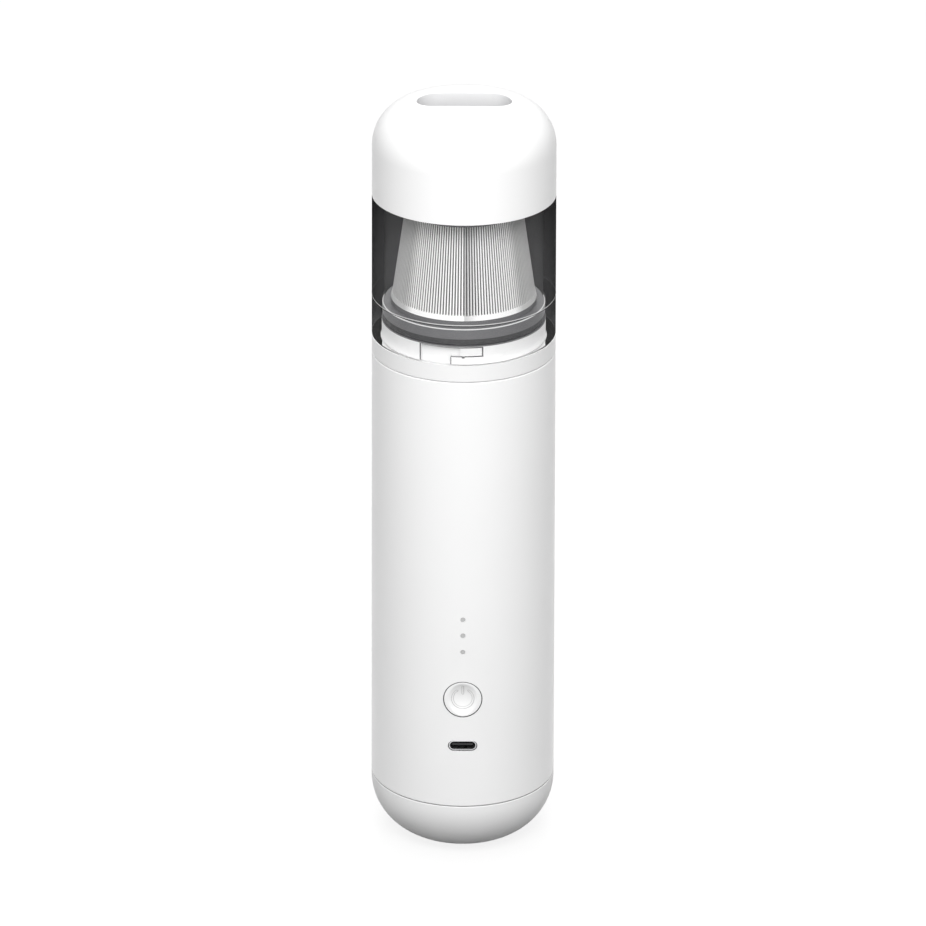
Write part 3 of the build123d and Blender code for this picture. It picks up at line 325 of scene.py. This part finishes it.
# Outer line of the tube, for painted shade that starts some depth under it, and the greys of painted shade
TUBE_R = 30.0 * MM
TAIL_SEAM_Z = 20.8 * MM
TUBE_LEAN = 0.9 / 201.2
SEAM_SHADE_DEPTH = 0.16 * MM
HOLE_SHADE_DEPTH = 0.1 * MM
EDGE_BLUR = 0.02 * MM
SHADE_GREY = (0.14, 0.14, 0.145)
SEAM_SHADE_GREY = (0.5, 0.5, 0.5)
CREASE_SHADE_GREY = (0.3, 0.3, 0.3)


def below_tube_line(paint, skin):
    """1 where the point lies deeper than skin, a depth under the tube's outer line."""
    line = paint.calc("MULTIPLY_ADD", paint.along("Z"), -TUBE_LEAN, TUBE_R + TUBE_LEAN * TAIL_SEAM_Z)
    depth = paint.calc("SUBTRACT", line, paint.radius())
    return paint.ramp(depth, skin - 0.03 * MM, skin + 0.03 * MM, 0.0, 1.0)


def shaded_seam(paint, low, high):
    """The faces of a seam between two heights carry painted shade: grey from a little under the tube's outer
    line.
    """
    level = paint.between(paint.along("Z"), low, high, EDGE_BLUR / 2)
    return paint.tint(paint.both(below_tube_line(paint, SEAM_SHADE_DEPTH), level), SEAM_SHADE_GREY)


BUTTON_Z = 59.35 * MM
BUTTON_HOLE_R = 6.38 * MM
SOCKET_Z = 42.8 * MM
SOCKET_CUT_W = 9.5 * MM
SOCKET_CUT_H = 3.6 * MM
HOLES_BACK_Y = -19.0 * MM


def shaded_holes(paint):
    """The walls of the button's hole and of the socket's cut carry painted shade: dark grey from a little
    under the tube's outer line.
    """
    blur = 2 * EDGE_BLUR
    off_button = paint.length(paint.scaled(1, 0, 1, (0, 0, -BUTTON_Z)))
    round_hole = paint.ramp(off_button, BUTTON_HOLE_R, BUTTON_HOLE_R + blur, 1.0, 0.0)
    off_cut = paint.off_slot(SOCKET_CUT_W, SOCKET_CUT_H, paint.calc("SUBTRACT", paint.along("Z"), SOCKET_Z))
    cut = paint.ramp(off_cut, SOCKET_CUT_H / 2 + blur, SOCKET_CUT_H / 2 + 2 * blur, 1.0, 0.0)
    front = paint.ramp(paint.along("Y"), HOLES_BACK_Y - 1 * MM, HOLES_BACK_Y, 1.0, 0.0)
    hole = paint.both(paint.either(round_hole, cut), front)
    return paint.tint(paint.both(hole, below_tube_line(paint, HOLE_SHADE_DEPTH)), SHADE_GREY)


SLOT_L = 29.8 * MM
SLOT_W = 12.6 * MM
DUCT_GREY = (0.68, 0.68, 0.685)


def grey_duct(paint):
    """The duct behind the nozzle slot is greyer: all that lies within half a width of its middle line."""
    away = paint.off_slot(SLOT_L, SLOT_W, paint.along("Y"))
    low = SLOT_W / 2 + EDGE_BLUR
    return paint.tint(paint.ramp(away, low, low + 0.05 * MM, 1.0, 0.0), DUCT_GREY)


WHITE = (0.88, 0.88, 0.88)


def white_plastic(name, colour=WHITE):
    """White shell plastic under a thin clear coat."""
    return moulded(name, colour, 0.36, spread=0.008, coat=0.5)


finishes = {
    "white_shell": white_plastic("satin white shell"),
    "white_nose": grey_duct(white_plastic("satin white nose", (0.87, 0.87, 0.87))),
    "collar_white": white_plastic("satin white collar", (0.83, 0.83, 0.83)),
    "lock_white": moulded("white lock ring", (0.86, 0.86, 0.86), 0.42, spread=0.01),
    "dark_rubber": rubber("black seal rubber", (0.045, 0.045, 0.047)),
    "grey_rubber": rubber("grey flap rubber", (0.2, 0.2, 0.205)),
    "valve_grey": moulded("valve seat grey", (0.28, 0.28, 0.29), 0.5),
    "filter_grey": moulded("filter flange grey", (0.16, 0.16, 0.165), 0.45),
    "filter_white": moulded("filter white", (0.9, 0.9, 0.895), 0.45),
    "foam": open_foam("outlet foam", (0.06, 0.06, 0.065)),
    "frame_black": moulded("black inner frame", (0.035, 0.035, 0.038), 0.5),
    "impeller_grey": moulded("grey impeller", (0.17, 0.18, 0.19), 0.4),
    "steel": bare_metal("turned steel", (0.6, 0.6, 0.61), 0.32),
    "magnet": moulded("dark magnet", (0.07, 0.07, 0.075), 0.55, grain=0.02 * MM),
    "core_steel": stacked_sheets("stacked core sheets", (0.42, 0.42, 0.43)),
    "copper": bare_metal("bare copper", (0.72, 0.4, 0.24), 0.3),
    "carbon": moulded("carbon brush", (0.04, 0.04, 0.04), 0.6, grain=0.02 * MM),
    "cell_wrap": wrapped_cell("blue cell sleeve", (0.05, 0.2, 0.42)),
    "nickel": bare_metal("nickel strip", (0.68, 0.66, 0.62), 0.35),
    "board_green": circuit_board("green board", (0.015, 0.12, 0.05), (0.03, 0.2, 0.08)),
    "chip_black": moulded("black chip", (0.025, 0.025, 0.026), 0.5),
    "lamp": moulded("lamp body", (0.85, 0.85, 0.78), 0.3),
    "light_guide": moulded("milky light guide", (0.5, 0.5, 0.5), 0.3),
    "socket_metal": bare_metal("drawn socket shell", (0.55, 0.55, 0.56), 0.3, along=(1, 30, 1)),
    "socket_black": moulded("black socket insert", (0.008, 0.008, 0.009), 0.5),
    "lead_sleeve": rubber("red lead sleeve", (0.4, 0.02, 0.015)),
}

GROOVE_IN_R = 22.4 * MM
GROOVE_OUT_R = 24.75 * MM
GROOVE_LOW_Z = 179.1 * MM
LUG_OUT_R = 26.0 * MM
LUG_TOP_Z = 179.68 * MM
ABOVE_ALL = 1.0


def shaded_neck(paint):
    """The neck under the lock ring's roof carries painted shade, and so does the top of each lug."""
    z, r = paint.along("Z"), paint.radius()
    neck = paint.between(r, GROOVE_IN_R, GROOVE_OUT_R, EDGE_BLUR)
    neck = paint.both(neck, paint.between(z, GROOVE_LOW_Z, ABOVE_ALL, 2.5 * EDGE_BLUR))
    top = paint.between(r, GROOVE_IN_R, LUG_OUT_R, EDGE_BLUR)
    top = paint.both(top, paint.between(z, LUG_TOP_Z, ABOVE_ALL, EDGE_BLUR))
    return paint.tint(paint.either(neck, top), SHADE_GREY)


RING_OUT_R = 26.12 * MM
RING_CUT_LOW_Z = 174.3 * MM
RING_CUT_HIGH_Z = 180.5 * MM
RING_CUT_DEPTH = 0.9 * MM
RING_SKIN = 0.08 * MM
RING_SLOT_DEG = -9.2
RING_SLOT_Z = 176.75 * MM
RING_LINE = 0.3 * MM
RING_RIM = 0.42 * MM


def shaded_ring_cuts(paint):
    """Painted shade: the cut walls of the ring's slots are grey for a little way in from its outer face. A
    thin line of painted shade runs down the right edge of the front slot's way in, and the top rim is grey
    with painted shadow under the seal."""
    z, r = paint.along("Z"), paint.radius()
    walls = paint.between(r, RING_OUT_R - RING_CUT_DEPTH, RING_OUT_R - RING_SKIN, EDGE_BLUR)
    walls = paint.both(walls, paint.between(z, RING_CUT_LOW_Z, RING_CUT_HIGH_Z, EDGE_BLUR))
    turn = paint.calc("SUBTRACT", paint.bearing(), radians(RING_SLOT_DEG))
    line = paint.between(turn, 0.0, RING_LINE / RING_OUT_R, 0.1 * RING_LINE / RING_OUT_R)
    line = paint.both(line, paint.between(z, RING_CUT_LOW_Z, RING_SLOT_Z, EDGE_BLUR))
    rim = paint.between(z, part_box("lock_ring")[1].z - RING_RIM, ABOVE_ALL, EDGE_BLUR)
    return paint.tint(paint.either(paint.either(walls, line), rim), SHADE_GREY)


FLANGE_R = 25.9 * MM
FLANGE_TOP_Z = 186.1 * MM
# Greys of a painted highlight, a painted dark reflection and painted side shade
RIM_HIGHLIGHT_GREY = (0.62, 0.62, 0.62)
DARK_REFLECTION_GREY = (0.12, 0.12, 0.12)
SIDE_SHADE_GREY = (0.33, 0.33, 0.33)


def painted_rim_highlight(paint):
    """The rim of the flange carries a painted pale highlight."""
    rim = paint.between(paint.radius(), FLANGE_R - 0.3 * MM, ABOVE_ALL, EDGE_BLUR)
    level = paint.between(paint.along("Z"), FLANGE_TOP_Z - 0.28 * MM, ABOVE_ALL, EDGE_BLUR)
    return paint.tint(paint.both(rim, level), RIM_HIGHLIGHT_GREY)


def painted_dark_reflection(paint):
    """Painted dark reflection: grey that begins at the front and fades to the right."""
    turn = paint.bearing()
    dark_streak = paint.both(paint.ramp(turn, 0.0, 0.01, 0.0, 1.0), paint.ramp(turn, 0.02, 0.24, 0.5, 0.0))
    return paint.tint(dark_streak, DARK_REFLECTION_GREY)


def shaded_sides(paint):
    """Painted shade: the filter is greyer to the left and right."""
    side = paint.calc("ABSOLUTE", paint.calc("DIVIDE", paint.along("X"), paint.radius()))
    return paint.tint(paint.ramp(side, 0.71, 0.82, 0.0, 0.65), SIDE_SHADE_GREY)


body_skin = shaded_holes(white_plastic("body skin"))
tail_skin = moulded("tail skin", (0.84, 0.84, 0.84), 0.45, spread=0.008)
foot_white = moulded("filter foot white", (0.9, 0.9, 0.895), 0.45)
own_finish = {
    "body_shell": shaded_seam(body_skin, TAIL_SEAM_Z - 0.8 * MM, TAIL_SEAM_Z + 1.2 * MM),
    "tail_cap": shaded_seam(tail_skin, TAIL_SEAM_Z - 0.4 * MM, TAIL_SEAM_Z + 9.2 * MM),
    "filter_base_ring": shaded_sides(painted_dark_reflection(foot_white)),
    "neck_collar": shaded_neck(finishes["collar_white"]),
    "lock_ring": shaded_ring_cuts(finishes["lock_white"]),
    "filter_flange": painted_rim_highlight(moulded("flange grey", (0.14, 0.14, 0.145), 0.45)),
}


def dress_cad_nodes():
    """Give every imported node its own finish, or the finish of its record slot."""
    slot_of = {entry["node"]: entry["material_slot"] for entry in frame["record"]["subparts"]}
    for name, piece in nodes.items():
        finish = own_finish.get(name) or finishes.get(slot_of[name])
        if finish is None:
            continue
        piece.data.materials.clear()
        piece.data.materials.append(finish.material)


def smoky_skin(name, front_alpha, front_colour, back_alpha, back_colour, dark_aside=None):
    """Smoky plastic, told by which side of its skin faces the eye: how much of it shows, and in which grey.
    Only the eye meets it, so that lamps light what stands inside. dark_aside gives the distances to the left
    and right between which it closes to full grey, a painted shade on the sides."""
    paint = Paint(name, back_colour, 0.3)
    paint.vary(60, 0.04)
    paint.shader.inputs["Specular IOR Level"].default_value = 0.0
    behind = paint.node("ShaderNodeNewGeometry").outputs["Backfacing"]
    if front_colour != back_colour:
        paint.tint(paint.calc("SUBTRACT", 1.0, behind), front_colour)
    share = paint.ramp(behind, 0.0, 1.0, front_alpha, back_alpha)
    if dark_aside:
        aside = paint.calc("ABSOLUTE", paint.along("X"))
        share = paint.calc("MAXIMUM", share, paint.ramp(aside, *dark_aside, 0.0, 1.0))
    eye = paint.node("ShaderNodeLightPath").outputs["Is Camera Ray"]
    paint.tree.links.new(paint.calc("MULTIPLY", share, eye), paint.shader.inputs["Alpha"])
    return paint.material


# Dust cup

CUP_SEAT_DROP = 1.2 * MM
CUP_SKIRT_WALL = 2.9 * MM
CUP_STEP = 1.0 * MM
CUP_SPIGOT_H = 5.0 * MM
CUP_SPIGOT_WALL = 2.0 * MM
CUP_EDGE = 0.25 * MM
CUP_LINE_RISE = 13.25 * MM
CUP_LINE_W = 0.3 * MM
CUP_LINE_DEPTH = 0.05 * MM
CUP_SHOULDER_GAP = 0.3 * MM
CUP_FOOT_BAND = 0.5 * MM
CUP_BAND_X = (19.0 * MM, 26.0 * MM)
CUP_CLEAR_X = (25.8 * MM, 25.9 * MM)
SMOKE = (0.09, 0.09, 0.092)
SMOKE_FOOT = (0.03, 0.03, 0.03)
SMOKE_CHAMBER = (0.17, 0.17, 0.173)
# Pale grey of a painted highlight along the cup's moulded line
LINE_HIGHLIGHT = (0.75, 0.75, 0.75)
CUP_SEGMENTS = 256


def make_dust_cup():
    """Closed wall turned about the axis: outer skin with one fine moulded line, spigot into the nose, bore,
    shoulder and skirt."""
    low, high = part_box("dust_cup")
    foot_r, foot_z = high.x, low.z + CUP_SEAT_DROP
    seam_r, seam_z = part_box("nose_cap")[1].x, high.z - CUP_SPIGOT_H
    skirt_r = seam_r - CUP_SKIRT_WALL
    bore_r = skirt_r - CUP_STEP
    spigot_r = bore_r + CUP_SPIGOT_WALL
    shoulder_z = FLANGE_TOP_Z + CUP_SHOULDER_GAP
    line_z = foot_z + CUP_LINE_RISE
    line_r = foot_r + (seam_r - foot_r) * CUP_LINE_RISE / (seam_z - foot_z)
    profile = rounded(
        [
            (skirt_r, low.z, CUP_EDGE / 2),
            (foot_r, foot_z, CUP_EDGE),
            (foot_r, foot_z + CUP_FOOT_BAND, 0),
            (line_r, line_z - 1.5 * CUP_LINE_W, 0),
            (line_r - CUP_LINE_DEPTH, line_z - CUP_LINE_W, 0),
            (line_r, line_z - CUP_LINE_W / 2, 0),
            (line_r + CUP_LINE_DEPTH, line_z, 0),
            (line_r, line_z + CUP_LINE_W / 2, 0),
            (seam_r, seam_z, CUP_EDGE / 2),
            (spigot_r, seam_z, 0),
            (spigot_r, high.z, CUP_EDGE),
            (bore_r, high.z, CUP_EDGE),
            (bore_r, shoulder_z, CUP_EDGE / 2),
            (skirt_r, shoulder_z, 0),
        ]
    )
    points = turned_ring(profile, CUP_SEGMENTS)
    faces = grid_faces(*points.shape[:2], row_ring=True, column_ring=True)
    middle = (profile + np.roll(profile, -1, 0)) / 2
    inner = middle[:, 0] < spigot_r + 0.01 * MM
    edge = (middle[:, 0] > foot_r - 0.6 * CUP_EDGE) & (middle[:, 1] < foot_z + CUP_FOOT_BAND)
    foot = ~edge & (middle[:, 1] < foot_z + 0.05 * MM)
    rise = (middle[:, 1] - line_z) / CUP_LINE_W
    row_slot = np.select([inner, np.abs(rise) < 0.5, np.abs(rise + 1) < 0.5, foot, edge], [1, 2, 3, 4, 5], 0)
    skins = [
        smoky_skin("smoky cup outer skin", 0.05, SMOKE, 1.0, SMOKE),
        smoky_skin("smoky cup bore", 1.0, SMOKE_CHAMBER, 0.05, SMOKE_CHAMBER),
        # A painted highlight on the bead of the moulded line
        smoky_skin("painted highlight line on the cup", 0.8, LINE_HIGHLIGHT, 1.0, SMOKE),
        smoky_skin("dark line on the cup", 0.6, SMOKE_FOOT, 1.0, SMOKE),
        # The foot and its edge close to full grey to the left and right: painted shade
        smoky_skin("smoky cup foot", 1.0, SMOKE, 0.05, SMOKE_FOOT, CUP_CLEAR_X),
        smoky_skin("dark edge of the cup foot", 0.1, SMOKE_FOOT, 0.1, SMOKE, CUP_BAND_X),
    ]
    face_slots = np.repeat(row_slot, CUP_SEGMENTS)
    return make_piece("dust_cup_wall", points, faces, skins, "cup", "dust_cup", face_slots)


# Pleated filter

PLEATS = 150
PLEAT_SAMPLES = 12
PLEAT_ROWS = 8
PLEAT_DEPTH = 1.3 * MM
PLEAT_SHEET = 0.9 * MM
FILTER_CAP_LIP = 0.6 * MM
CREST_SHARE = 0.66
CREST_ROUNDING = 0.06
VALLEY_SHARE = 0.12
FOLD_SHADE_GREY = (0.25, 0.25, 0.25)


def pleat_paper():
    """White filter paper: felted fibres, white on each crest, with painted shade grey down its sides and in
    the folds, with a painted dark reflection just right of the front, and painted shade to the left and
    right."""
    paint = Paint("pleated paper", (0.93, 0.93, 0.925), 0.85)
    fibres = paint.noise(4200, 6.0, paint.scaled(1, 1, 0.35))
    paint.vary(700, 0.03).bump(fibres, 0.01 * MM)
    fold = paint.node("ShaderNodeAttribute")
    fold.attribute_name = "fold"
    # Painted shade down the sides of each pleat and deeper in its root
    paint.tint(paint.ramp(fold.outputs["Fac"], 0.9, 0.985, 1.0, 0.0), CREASE_SHADE_GREY)
    paint.tint(paint.ramp(fold.outputs["Fac"], 0.1, 0.6, 1.0, 0.0), FOLD_SHADE_GREY)
    return shaded_sides(painted_dark_reflection(paint))


def make_pleats():
    """Cone of folds: the radius swings between a round crest and a root with the angle, scaled with
    the cone's radius at each height; the inner side is the same wave a sheet's width inwards."""
    low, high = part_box("filter_media")
    base_r, top_r = high.x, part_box("filter_cap")[1].x - FILTER_CAP_LIP
    turn = np.arange(PLEATS * PLEAT_SAMPLES) / PLEAT_SAMPLES
    from_crest = 0.5 - np.abs(turn % 1 - 0.5)
    fold = 1 - smooth_step(from_crest, CREST_SHARE / 2 - CREST_ROUNDING, 0.5 - VALLEY_SHARE / 2)
    angle = turn * 2 * pi / PLEATS
    height = np.linspace(0, 1, PLEAT_ROWS)[:, None]
    cone_r = base_r + (top_r - base_r) * height
    scale = cone_r / base_r
    outer_r = cone_r - PLEAT_DEPTH * scale * (1 - fold)
    inner_r = outer_r - PLEAT_SHEET * scale
    z = low.z + (high.z - low.z) * height
    outer = np.stack([outer_r * np.cos(angle), outer_r * np.sin(angle), z + 0 * angle], 2)
    inner = np.stack([inner_r * np.cos(angle), inner_r * np.sin(angle), z + 0 * angle], 2)[::-1]
    points = np.concatenate([outer, inner])
    faces = grid_faces(*points.shape[:2], row_ring=True, column_ring=True)
    skin = [pleat_paper().material]
    piece = make_piece(
        "filter_pleats", points, faces, skin, "handle", "filter_media", sharp_deg=60
    )
    share = piece.data.attributes.new("fold", "FLOAT", "POINT")
    share.data.foreach_set("value", np.tile(fold, 2 * PLEAT_ROWS).astype(np.float32))
    return piece


# Power button

BUTTON_R = 6.12 * MM
BUTTON_INSET = 0.08 * MM
BUTTON_EDGE = 0.18 * MM
BUTTON_EDGE_STEPS = 5
BUTTON_ROD_R = 1.5 * MM
BUTTON_FLANGE_SET = 2.3 * MM
BUTTON_RIM_LINE = 0.12 * MM
BODY_WALL = 2.0 * MM
DISH_R = 5.5 * MM
DISH_DEPTH = 1.3 * MM
DISH_BLEND = 0.12 * MM
SIGN_R = 3.33 * MM
SIGN_W = 0.62 * MM
SIGN_GAP_DEG = 34.0
SIGN_BAR_LOW = 1.6 * MM
SIGN_BAR_HIGH = 4.3 * MM
SIGN_DEPTH = 0.2 * MM
SIGN_BLUR = 0.05 * MM
BUTTON_RINGS = 170
BUTTON_SPOKES = 320
BUTTON_FLANGE_T = 1.2 * MM


def sign_distance(x, z):
    """Distance outside the power sign: a ring open at the top, and an upright bar in the gap."""
    radius, from_top = np.hypot(x, z), np.abs(np.arctan2(x, z))
    gap = radians(SIGN_GAP_DEG)
    ring = np.abs(radius - SIGN_R)
    end = np.hypot(np.abs(x) - SIGN_R * sin(gap), z - SIGN_R * cos(gap))
    ring = np.where(from_top < gap, end, ring)
    bar = np.hypot(x, np.maximum(np.maximum(SIGN_BAR_LOW - z, z - SIGN_BAR_HIGH), 0))
    return np.minimum(ring, bar) - SIGN_W / 2


def make_button():
    """Round cap about its own axis: the face follows the tube less a shallow dish, part of a sphere, with the
    power sign sunk in it; then edge, wall, flange and rod as plain rings, closed by a point at each end."""
    low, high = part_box("power_button")
    centre_z = (low.z + high.z) / 2
    flange_r, back_y = high.x, high.y
    flange_y = -(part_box("body_shell")[1].x - BODY_WALL) + BUTTON_FLANGE_SET
    tube_r = TUBE_R - TUBE_LEAN * (centre_z - TAIL_SEAM_Z) - BUTTON_INSET
    ball_r = (DISH_R**2 + DISH_DEPTH**2) / (2 * DISH_DEPTH)
    spokes = np.arange(BUTTON_SPOKES) * 2 * pi / BUTTON_SPOKES
    rho = np.linspace(0.03 * MM, BUTTON_R - BUTTON_EDGE, BUTTON_RINGS)[:, None]
    x, z = rho * np.sin(spokes), rho * np.cos(spokes)
    tube = -np.sqrt(tube_r**2 - x**2)
    bowl = DISH_DEPTH - tube_r - ball_r + np.sqrt(np.maximum(ball_r**2 - rho**2, 0))
    step = np.clip((bowl - tube) / DISH_BLEND, -1, 1)
    face = (tube + bowl) / 2 + DISH_BLEND * (1 + step**2) / 4
    face = np.where(step >= 1, bowl, np.where(step <= -1, tube, face))
    apart = sign_distance(x, z)
    sunk = SIGN_DEPTH * (1 - smooth_step(apart, -SIGN_BLUR, SIGN_BLUR))
    wall = 1 - smooth_step(np.abs(apart), SIGN_BLUR, 3 * SIGN_BLUR)
    rows = [np.stack([x, face + sunk, z + centre_z], 2)]
    for step in range(1, BUTTON_EDGE_STEPS + 1):
        a = step / BUTTON_EDGE_STEPS * pi / 2
        r = BUTTON_R - BUTTON_EDGE * (1 - sin(a))
        x, z = r * np.sin(spokes), r * np.cos(spokes)
        y = BUTTON_EDGE * (1 - cos(a)) - np.sqrt(tube_r**2 - x**2)
        rows.append(np.stack([x, y, z + centre_z], 1)[None])
    for r, y in (
        (BUTTON_R, flange_y),
        (flange_r, flange_y),
        (flange_r, flange_y + BUTTON_FLANGE_T),
        (BUTTON_ROD_R, flange_y + BUTTON_FLANGE_T),
        (BUTTON_ROD_R, back_y),
    ):
        rows.append(np.stack([r * np.sin(spokes), 0 * spokes + y, r * np.cos(spokes) + centre_z], 1)[None])
    points = np.concatenate(rows)
    faces = grid_faces(*points.shape[:2], column_ring=True)[:, ::-1].tolist()
    first = np.arange(BUTTON_SPOKES)
    last = first + (len(points) - 1) * BUTTON_SPOKES
    front_pole, back_pole = points[0].mean(0), np.array([0, back_y, centre_z])
    points = np.concatenate([points.reshape(-1, 3), [front_pole, back_pole]])
    faces += np.stack([np.roll(first, -1), first, 0 * first + len(points) - 2], 1)[:, ::-1].tolist()
    faces += np.stack([last, np.roll(last, -1), 0 * last + len(points) - 1], 1)[:, ::-1].tolist()
    skin = white_plastic("satin white button")
    wide = skin.length(skin.scaled(1, 0, 1, (0, 0, -centre_z)))
    # Painted shade: a thin grey line round the edge of the face, at the gap round the button
    rim = skin.ramp(wide, BUTTON_R - BUTTON_RIM_LINE, BUTTON_R - BUTTON_RIM_LINE / 2, 0.0, 1.0)
    skin.tint(rim, SHADE_GREY)
    # Painted shade on the walls of the sunk power sign
    sign_wall_shade = skin.node("ShaderNodeAttribute")
    sign_wall_shade.attribute_name = "sign_wall_shade"
    skin.tint(skin.ramp(sign_wall_shade.outputs["Fac"], 0.0, 1.0, 0.0, 0.6), CREASE_SHADE_GREY)
    skins = [skin.material]
    cap = make_piece("power_button_cap", points, faces, skins, "button", "power_button")
    share = np.zeros(len(points), np.float32)
    share[: wall.size] = wall.ravel()
    cap.data.attributes.new("sign_wall_shade", "FLOAT", "POINT").data.foreach_set("value", share)
    return cap


# Camera, floor and light

CAMERA_AWAY = 1.62866
CAMERA_UP = 0.82587
CAMERA_PITCH_DEG = 23.15
CAMERA_ROLL_DEG = 0.15
CAMERA_SIDE_DEG = 0.0043
SENSOR_W = 36
FOCAL_WIDTHS = 5500 / 926


def make_camera():
    """Long lens from the front, above the cleaner, at the photograph's height and tilt."""
    data = bpy.data.cameras.new("camera")
    data.sensor_width = SENSOR_W
    data.lens = SENSOR_W * FOCAL_WIDTHS
    data.clip_start, data.clip_end = 0.05, 60
    camera = bpy.data.objects.new("camera", data)
    bpy.context.scene.collection.objects.link(camera)
    turn = Matrix.Rotation(radians(CAMERA_SIDE_DEG), 4, "Z")
    turn = turn @ Matrix.Rotation(radians(90 - CAMERA_PITCH_DEG), 4, "X")
    turn = turn @ Matrix.Rotation(radians(CAMERA_ROLL_DEG), 4, "Z")
    camera.matrix_world = Matrix.Translation((0, -CAMERA_AWAY, CAMERA_UP)) @ turn
    bpy.context.scene.camera = camera


FLOOR_SIZE = 12.0
FLOOR_PALE = 0.9
FLOOR_DULL = 0.02
FLOOR_GLOW = 1.03
FLOOR_GLOW_SHARE = 0.8


def sight_share(tree):
    """1 for rays that the eye, a mirror or clear plastic sends out, 0 for those that only carry light."""
    path = tree.nodes.new("ShaderNodeLightPath")
    total = path.outputs["Is Camera Ray"]
    for name in ("Is Glossy Ray", "Is Transmission Ray"):
        either = tree.nodes.new("ShaderNodeMath")
        either.operation = "MAXIMUM"
        tree.links.new(total, either.inputs[0])
        tree.links.new(path.outputs[name], either.inputs[1])
        total = either.outputs[0]
    return total


def mix_shaders(tree, share, first, second):
    """Mix Shader node's output."""
    mix = tree.nodes.new("ShaderNodeMixShader")
    if isinstance(share, float):
        mix.inputs[0].default_value = share
    else:
        tree.links.new(share, mix.inputs[0])
    tree.links.new(first, mix.inputs[1])
    tree.links.new(second, mix.inputs[2])
    return mix.outputs[0]


def make_floor():
    """Wide pale floor: diffuse, so that it keeps the shadow, with a share of plain white for the eye. Light
    that bounces off it is held low, so that it doesn't fill the underside of the tail."""
    e = FLOOR_SIZE
    mesh = bpy.data.meshes.new("floor")
    mesh.from_pydata([(-e, -e, 0), (e, -e, 0), (e, e, 0), (-e, e, 0)], [], [(0, 1, 2, 3)])
    floor = bpy.data.objects.new("floor", mesh)
    bpy.context.scene.collection.objects.link(floor)
    material = bpy.data.materials.new("pale floor")
    material.use_nodes = True
    tree = material.node_tree
    tree.nodes.clear()
    lit, dull = tree.nodes.new("ShaderNodeBsdfDiffuse"), tree.nodes.new("ShaderNodeBsdfDiffuse")
    lit.inputs["Color"].default_value = (FLOOR_PALE,) * 3 + (1,)
    dull.inputs["Color"].default_value = (FLOOR_DULL,) * 3 + (1,)
    plain = tree.nodes.new("ShaderNodeEmission")
    plain.inputs["Strength"].default_value = FLOOR_GLOW
    seen = mix_shaders(tree, FLOOR_GLOW_SHARE, lit.outputs[0], plain.outputs[0])
    mirrored = mix_shaders(tree, sight_share(tree), dull.outputs[0], lit.outputs[0])
    eye = tree.nodes.new("ShaderNodeLightPath").outputs["Is Camera Ray"]
    out = tree.nodes.new("ShaderNodeOutputMaterial")
    tree.links.new(mix_shaders(tree, eye, mirrored, seen), out.inputs[0])
    mesh.materials.append(material)


def add_softbox(name, place, target, width, height, watts):
    """Rectangular soft light aimed at a point."""
    data = bpy.data.lights.new(name, "AREA")
    data.shape = "RECTANGLE"
    data.size, data.size_y, data.energy = width, height, watts
    lamp = bpy.data.objects.new(name, data)
    bpy.context.scene.collection.objects.link(lamp)
    away = Vector(place) - Vector(target)
    lamp.matrix_world = Matrix.Translation(place) @ away.to_track_quat("Z", "Y").to_matrix().to_4x4()


SKY_GLOW = 0.84
AIM = (0, 0, 0.15)
# Soft boxes: name, place, width, height and watts
SOFT_BOXES = [
    ("far front box", (0, -1.6, 0.6), 0.7, 0.5, 7),
    ("near front box", (0, -0.58, 0.65), 0.4, 0.3, 3.8),
    ("back box", (0, 0.8, 1.3), 0.7, 0.7, 7),
]


def make_light():
    """Even white surroundings for the eye, a dimmer glow for shading, and the soft boxes."""
    world = bpy.data.worlds.new("white surroundings")
    bpy.context.scene.world = world
    world.use_nodes = True
    tree = world.node_tree
    tree.nodes.clear()
    glow, plain = tree.nodes.new("ShaderNodeBackground"), tree.nodes.new("ShaderNodeBackground")
    glow.inputs["Strength"].default_value = SKY_GLOW
    plain.inputs["Strength"].default_value = 1.0
    out = tree.nodes.new("ShaderNodeOutputWorld")
    tree.links.new(mix_shaders(tree, sight_share(tree), glow.outputs[0], plain.outputs[0]), out.inputs[0])
    for name, place, width, height, watts in SOFT_BOXES:
        add_softbox(name, place, AIM, width, height, watts)


dress_cad_nodes()
make_dust_cup()
make_pleats()
make_button()
make_camera()
make_floor()
make_light()

bpy.context.scene.view_settings.view_transform = "Standard"
